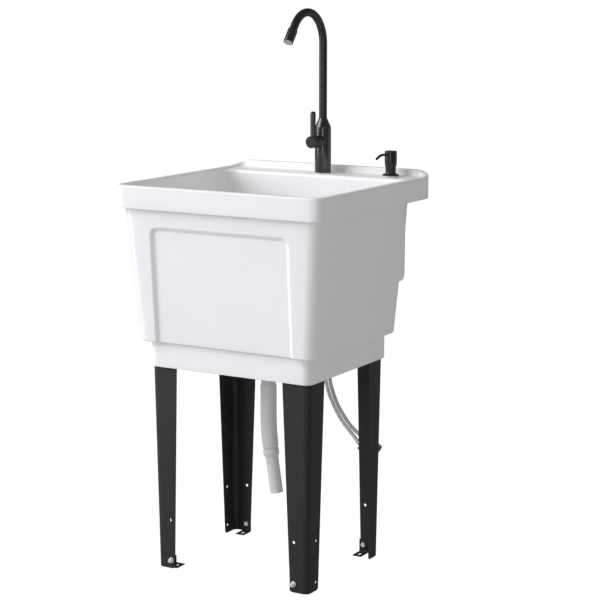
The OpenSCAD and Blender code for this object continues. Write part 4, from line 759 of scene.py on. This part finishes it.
# mixer: body with its side barrel, turning cone, spout tube and sleeve
tapSet = {
    "y": 212, "barrelZ": 952.3, "tube": 18.6, "tubeFoot": 1003.5, "rise": 1177, "bend": 72,
    "turn": 142, "tip": 43, "sleeveStart": 14, "sides": 72, "wideSides": 96, "tubeSides": 48,
    "riseRows": 24, "bendRows": 72, "tipRows": 9,
    "seal": [(16.5, 875.2), (18.2, 875.2), (18.4, 875.6), (18.4, 877.9), (16.5, 877.9)],
    "body": [(14, 878), (19, 878, 0.5), (19, 982.5, 0.5), (14, 982.5)],
    "barrel": [(10, 2), (14, 2), (14, 37, 0.4), (11.2, 37)],
    "cone": [(14, 982.7), (18.3, 982.7, 0.2), (18.7, 984.1, 2.5), (10.2, 1003.3, 3),
             (9.75, 1004.5, 0.2), (9.0, 1004.5)],
    "sleeve": [(9.3, 0), (11.15, 0, 0.5), (11.15, 34, 0.7), (9.3, 34, 0.4)],
}
s = tapSet
tapFoot = (0, s["y"], 0)
# a real seal ring whose light grey is painted contact shade on the deck under the mixer
makePiece("mixerSeal", [turned(rounded(s["seal"]), tapFoot, s["sides"], closed=True)],
          "sealGreyForContactShade", "tub_frame", "mixer_seal_ring")
makePiece("mixerBody", [
    turned(rounded(s["body"]), tapFoot, s["wideSides"]),
    turned(rounded(s["barrel"]), (0, s["y"], s["barrelZ"]), s["sides"], (0, -1, 0))],
    "tapMattBlack", "tub_frame", "mixer_body")
makePiece("spoutCone", [turned(rounded(s["cone"], 6), tapFoot, s["wideSides"])],
          "coneMattBlack", "spout_arm", "spout_collar")
angles = np.radians(np.linspace(0, s["turn"], s["bendRows"]))
riseZ = np.linspace(s["tubeFoot"], s["rise"], s["riseRows"], endpoint=False)
bendY = s["y"] - s["bend"] + s["bend"] * np.cos(angles)
bendZ = s["rise"] + s["bend"] * np.sin(angles)
spoutLine = np.concatenate([
    np.stack([np.zeros(len(riseZ)), np.full(len(riseZ), s["y"]), riseZ], -1),
    np.stack([np.zeros(len(angles)), bendY, bendZ], -1)])
heading = np.array([0, -math.sin(angles[-1]), math.cos(angles[-1])])
tipLine = spoutLine[-1] + heading * np.linspace(0, s["tip"], s["tipRows"])[1:, None]
spoutPath = np.concatenate([spoutLine, tipLine])
makePiece("spoutTube", [tubeAlong(spoutPath, s["tube"] / 2, s["tubeSides"])],
          "spoutMattBlack", "spout_arm", "spout")
sleeveFoot = spoutLine[-1] + heading * s["sleeveStart"]
makePiece("spoutSleeve", [turned(
    rounded(s["sleeve"]), sleeveFoot, s["sides"], heading, closed=True)],
    "tapMattBlack", "spout_arm", "outlet_sleeve")
print("mixer")

# soap pump: flange sloping out from the neck, hollow head with a tapered foot, drooping nozzle
pumpSet = {
    "place": (178, 214, 0), "sides": 72, "root": (178, 207, 928.4), "nozzle": 6, "nozzleSides": 32,
    "run": 42.9, "rise": 3, "end": 21, "droop": 21.5, "tipRound": 0.3,
    "bendFrom": 0.26, "bendTo": 0.5, "runRows": 8, "bendRows": 10, "endRows": 5,
    "seal": [(12.6, 875.2), (18.7, 875.2), (18.9, 875.6), (18.9, 879.7), (12.6, 879.7)],
    "base": [(11.4, 879.8), (19.5, 879.8, 0.4), (19.5, 881.7, 0.7), (16.8, 883.4, 2.5),
             (12.6, 884.8, 1.6), (12, 886.8, 2), (12, 899.9, 0.3), (9.8, 899.9)],
    "head": [(12.55, 934), (12.55, 900.1), (13.0, 900.1, 0.2), (13.5, 904.6, 3), (14, 909.6, 3),
             (14, 936, 1.3), (10, 936)],
}
s = pumpSet
# a real seal ring whose light grey is painted contact shade on the deck under the pump's flange
makePiece("pumpSeal", [turned(rounded(s["seal"]), s["place"], s["sides"], closed=True)],
          "sealGreyForContactShade", "tub_frame", "pump_seal_ring")
makePiece("pumpBase", [turned(rounded(s["base"], 6), s["place"], s["sides"])],
          "spoutMattBlack", "tub_frame", "pump_base")
makePiece("pumpHead", [turned(rounded(s["head"], 6), s["place"], s["sides"])],
          "spoutMattBlack", "pump_cap", "pump_head")
rise, droop = math.radians(s["rise"]), math.radians(s["droop"])
root = np.array(s["root"])
knee = root + s["run"] * np.array([0, -math.cos(rise), math.sin(rise)])
tip = knee + s["end"] * np.array([0, -math.cos(droop), -math.sin(droop)])
share = np.linspace(0, 1, s["bendRows"])[:, None]
before, after = knee + (root - knee) * s["bendFrom"], knee + (tip - knee) * s["bendTo"]
bendLine = (1 - share) ** 2 * before + 2 * share * (1 - share) * knee + share ** 2 * after
nozzleLine = np.concatenate([
    np.linspace(root, before, s["runRows"])[:-1], bendLine,
    np.linspace(after, tip, s["endRows"])[1:]])
nozzleReach = np.full(len(nozzleLine), s["nozzle"] / 2)
nozzleReach[-1] -= s["tipRound"]
makePiece("pumpNozzle", [tubeAlong(nozzleLine, nozzleReach, s["nozzleSides"])],
          "spoutMattBlack", "pump_cap", "pump_nozzle")
print("soap pump")

# floor: paper for light, a glow for the camera and a dimmer one for reflections
stageSet = {"reach": 60, "paper": (0.68, 0.68, 0.68), "roughness": 0.9, "floorGlow": 0.85,
            "glowLevel": 1.15, "floorSheen": 0.28, "fill": 0.412, "sheen": 0.11,
            "fillColour": (1, 1, 0.987)}
s = stageSet
floorMesh = bpy.data.meshes.new("paleFloor")
floorCorners = np.array(((-1, -1, 0), (1, -1, 0), (1, 1, 0), (-1, 1, 0))) * s["reach"]
floorMesh.from_pydata(floorCorners.tolist(), [], [(0, 1, 2, 3)])
floor = placed("paleFloor", floorMesh)
paper = Finish("palePaper", s["paper"], s["roughness"], 0, 0)
seen = paper.add("ShaderNodeLightPath", {})
glow = paper.add("ShaderNodeEmission", {"Strength": s["glowLevel"]})
dim = paper.add("ShaderNodeEmission", {"Strength": s["floorSheen"]})
strength = paper.add("ShaderNodeMath", {0: seen.outputs["Is Camera Ray"], 1: s["floorGlow"]},
                     operation="MULTIPLY")
matte = paper.tree.nodes["Principled BSDF"].outputs[0]
shown = paper.add("ShaderNodeMixShader", {0: strength.outputs[0], 1: matte, 2: glow.outputs[0]})
mirrored = paper.add("ShaderNodeMixShader", {
    0: seen.outputs["Is Glossy Ray"], 1: shown.outputs[0], 2: dim.outputs[0]})
paper.tree.links.new(mirrored.outputs[0], paper.tree.nodes["Material Output"].inputs["Surface"])
floorMesh.materials.append(paper.material)

# the room's strength: 1 for the camera, low for reflections, and the fill for everything else
world = bpy.data.worlds.new("studio")
bpy.context.scene.world = world
world.use_nodes = True
tree = world.node_tree
seen = addNode(tree, "ShaderNodeLightPath", {})
mirrored = addNode(tree, "ShaderNodeMapRange", {
    "Value": seen.outputs["Is Glossy Ray"], "To Min": s["fill"], "To Max": s["sheen"]})
shown = addNode(tree, "ShaderNodeMapRange", {
    "Value": seen.outputs["Is Camera Ray"], "To Min": mirrored.outputs["Result"], "To Max": 1.0})
room = tree.nodes["Background"].inputs
tree.links.new(shown.outputs["Result"], room["Strength"])
room["Color"].default_value = (*s["fillColour"], 1)

# the big soft key, strips that only draw the vertical lights on the black pieces, and the basin's
# small fill
lampSet = {
    "key": {"place": (-8.90, -7.46, 7.14), "aim": (0, 0, 0.7), "size": (11, 11), "power": 1850,
            "colour": (0.935, 0.952, 1.0)},
    "leftStrip": {"place": (-1.75, -1.16, 1.05), "aim": (0, 0.21, 1.05), "size": (0.36, 2.1),
                  "power": 15.6, "diffuse": False},
    "frontStrip": {"place": (0.93, -1.78, 1.05), "aim": (0, 0.21, 1.05), "size": (0.3, 2.1),
                   "power": 9.8, "diffuse": False},
    "backStrip": {"place": (1.73, 1.56, 1.05), "aim": (0, 0.21, 1.05), "size": (0.3, 2.1),
                  "power": 2.6, "diffuse": False},
    "basinFill": {"place": (0, -0.03, 1.0), "aim": (0, -0.03, 0), "size": (0.3, 0.3),
                  "power": 0.1, "glossy": False},
}
for lampName, values in lampSet.items():
    lamp = bpy.data.lights.new(lampName, "AREA")
    lamp.energy = values["power"]
    lamp.shape = "RECTANGLE"
    lamp.size, lamp.size_y = values["size"]
    lamp.color = values.get("colour", (1, 1, 1))
    lampObject = placed(lampName, lamp)
    lampObject.location = values["place"]
    lampObject.rotation_euler = facing(Vector(values["aim"]) - Vector(values["place"]))
    lampObject.visible_camera = False
    lampObject.visible_diffuse = values.get("diffuse", True)
    lampObject.visible_glossy = values.get("glossy", True)
print("studio lit")
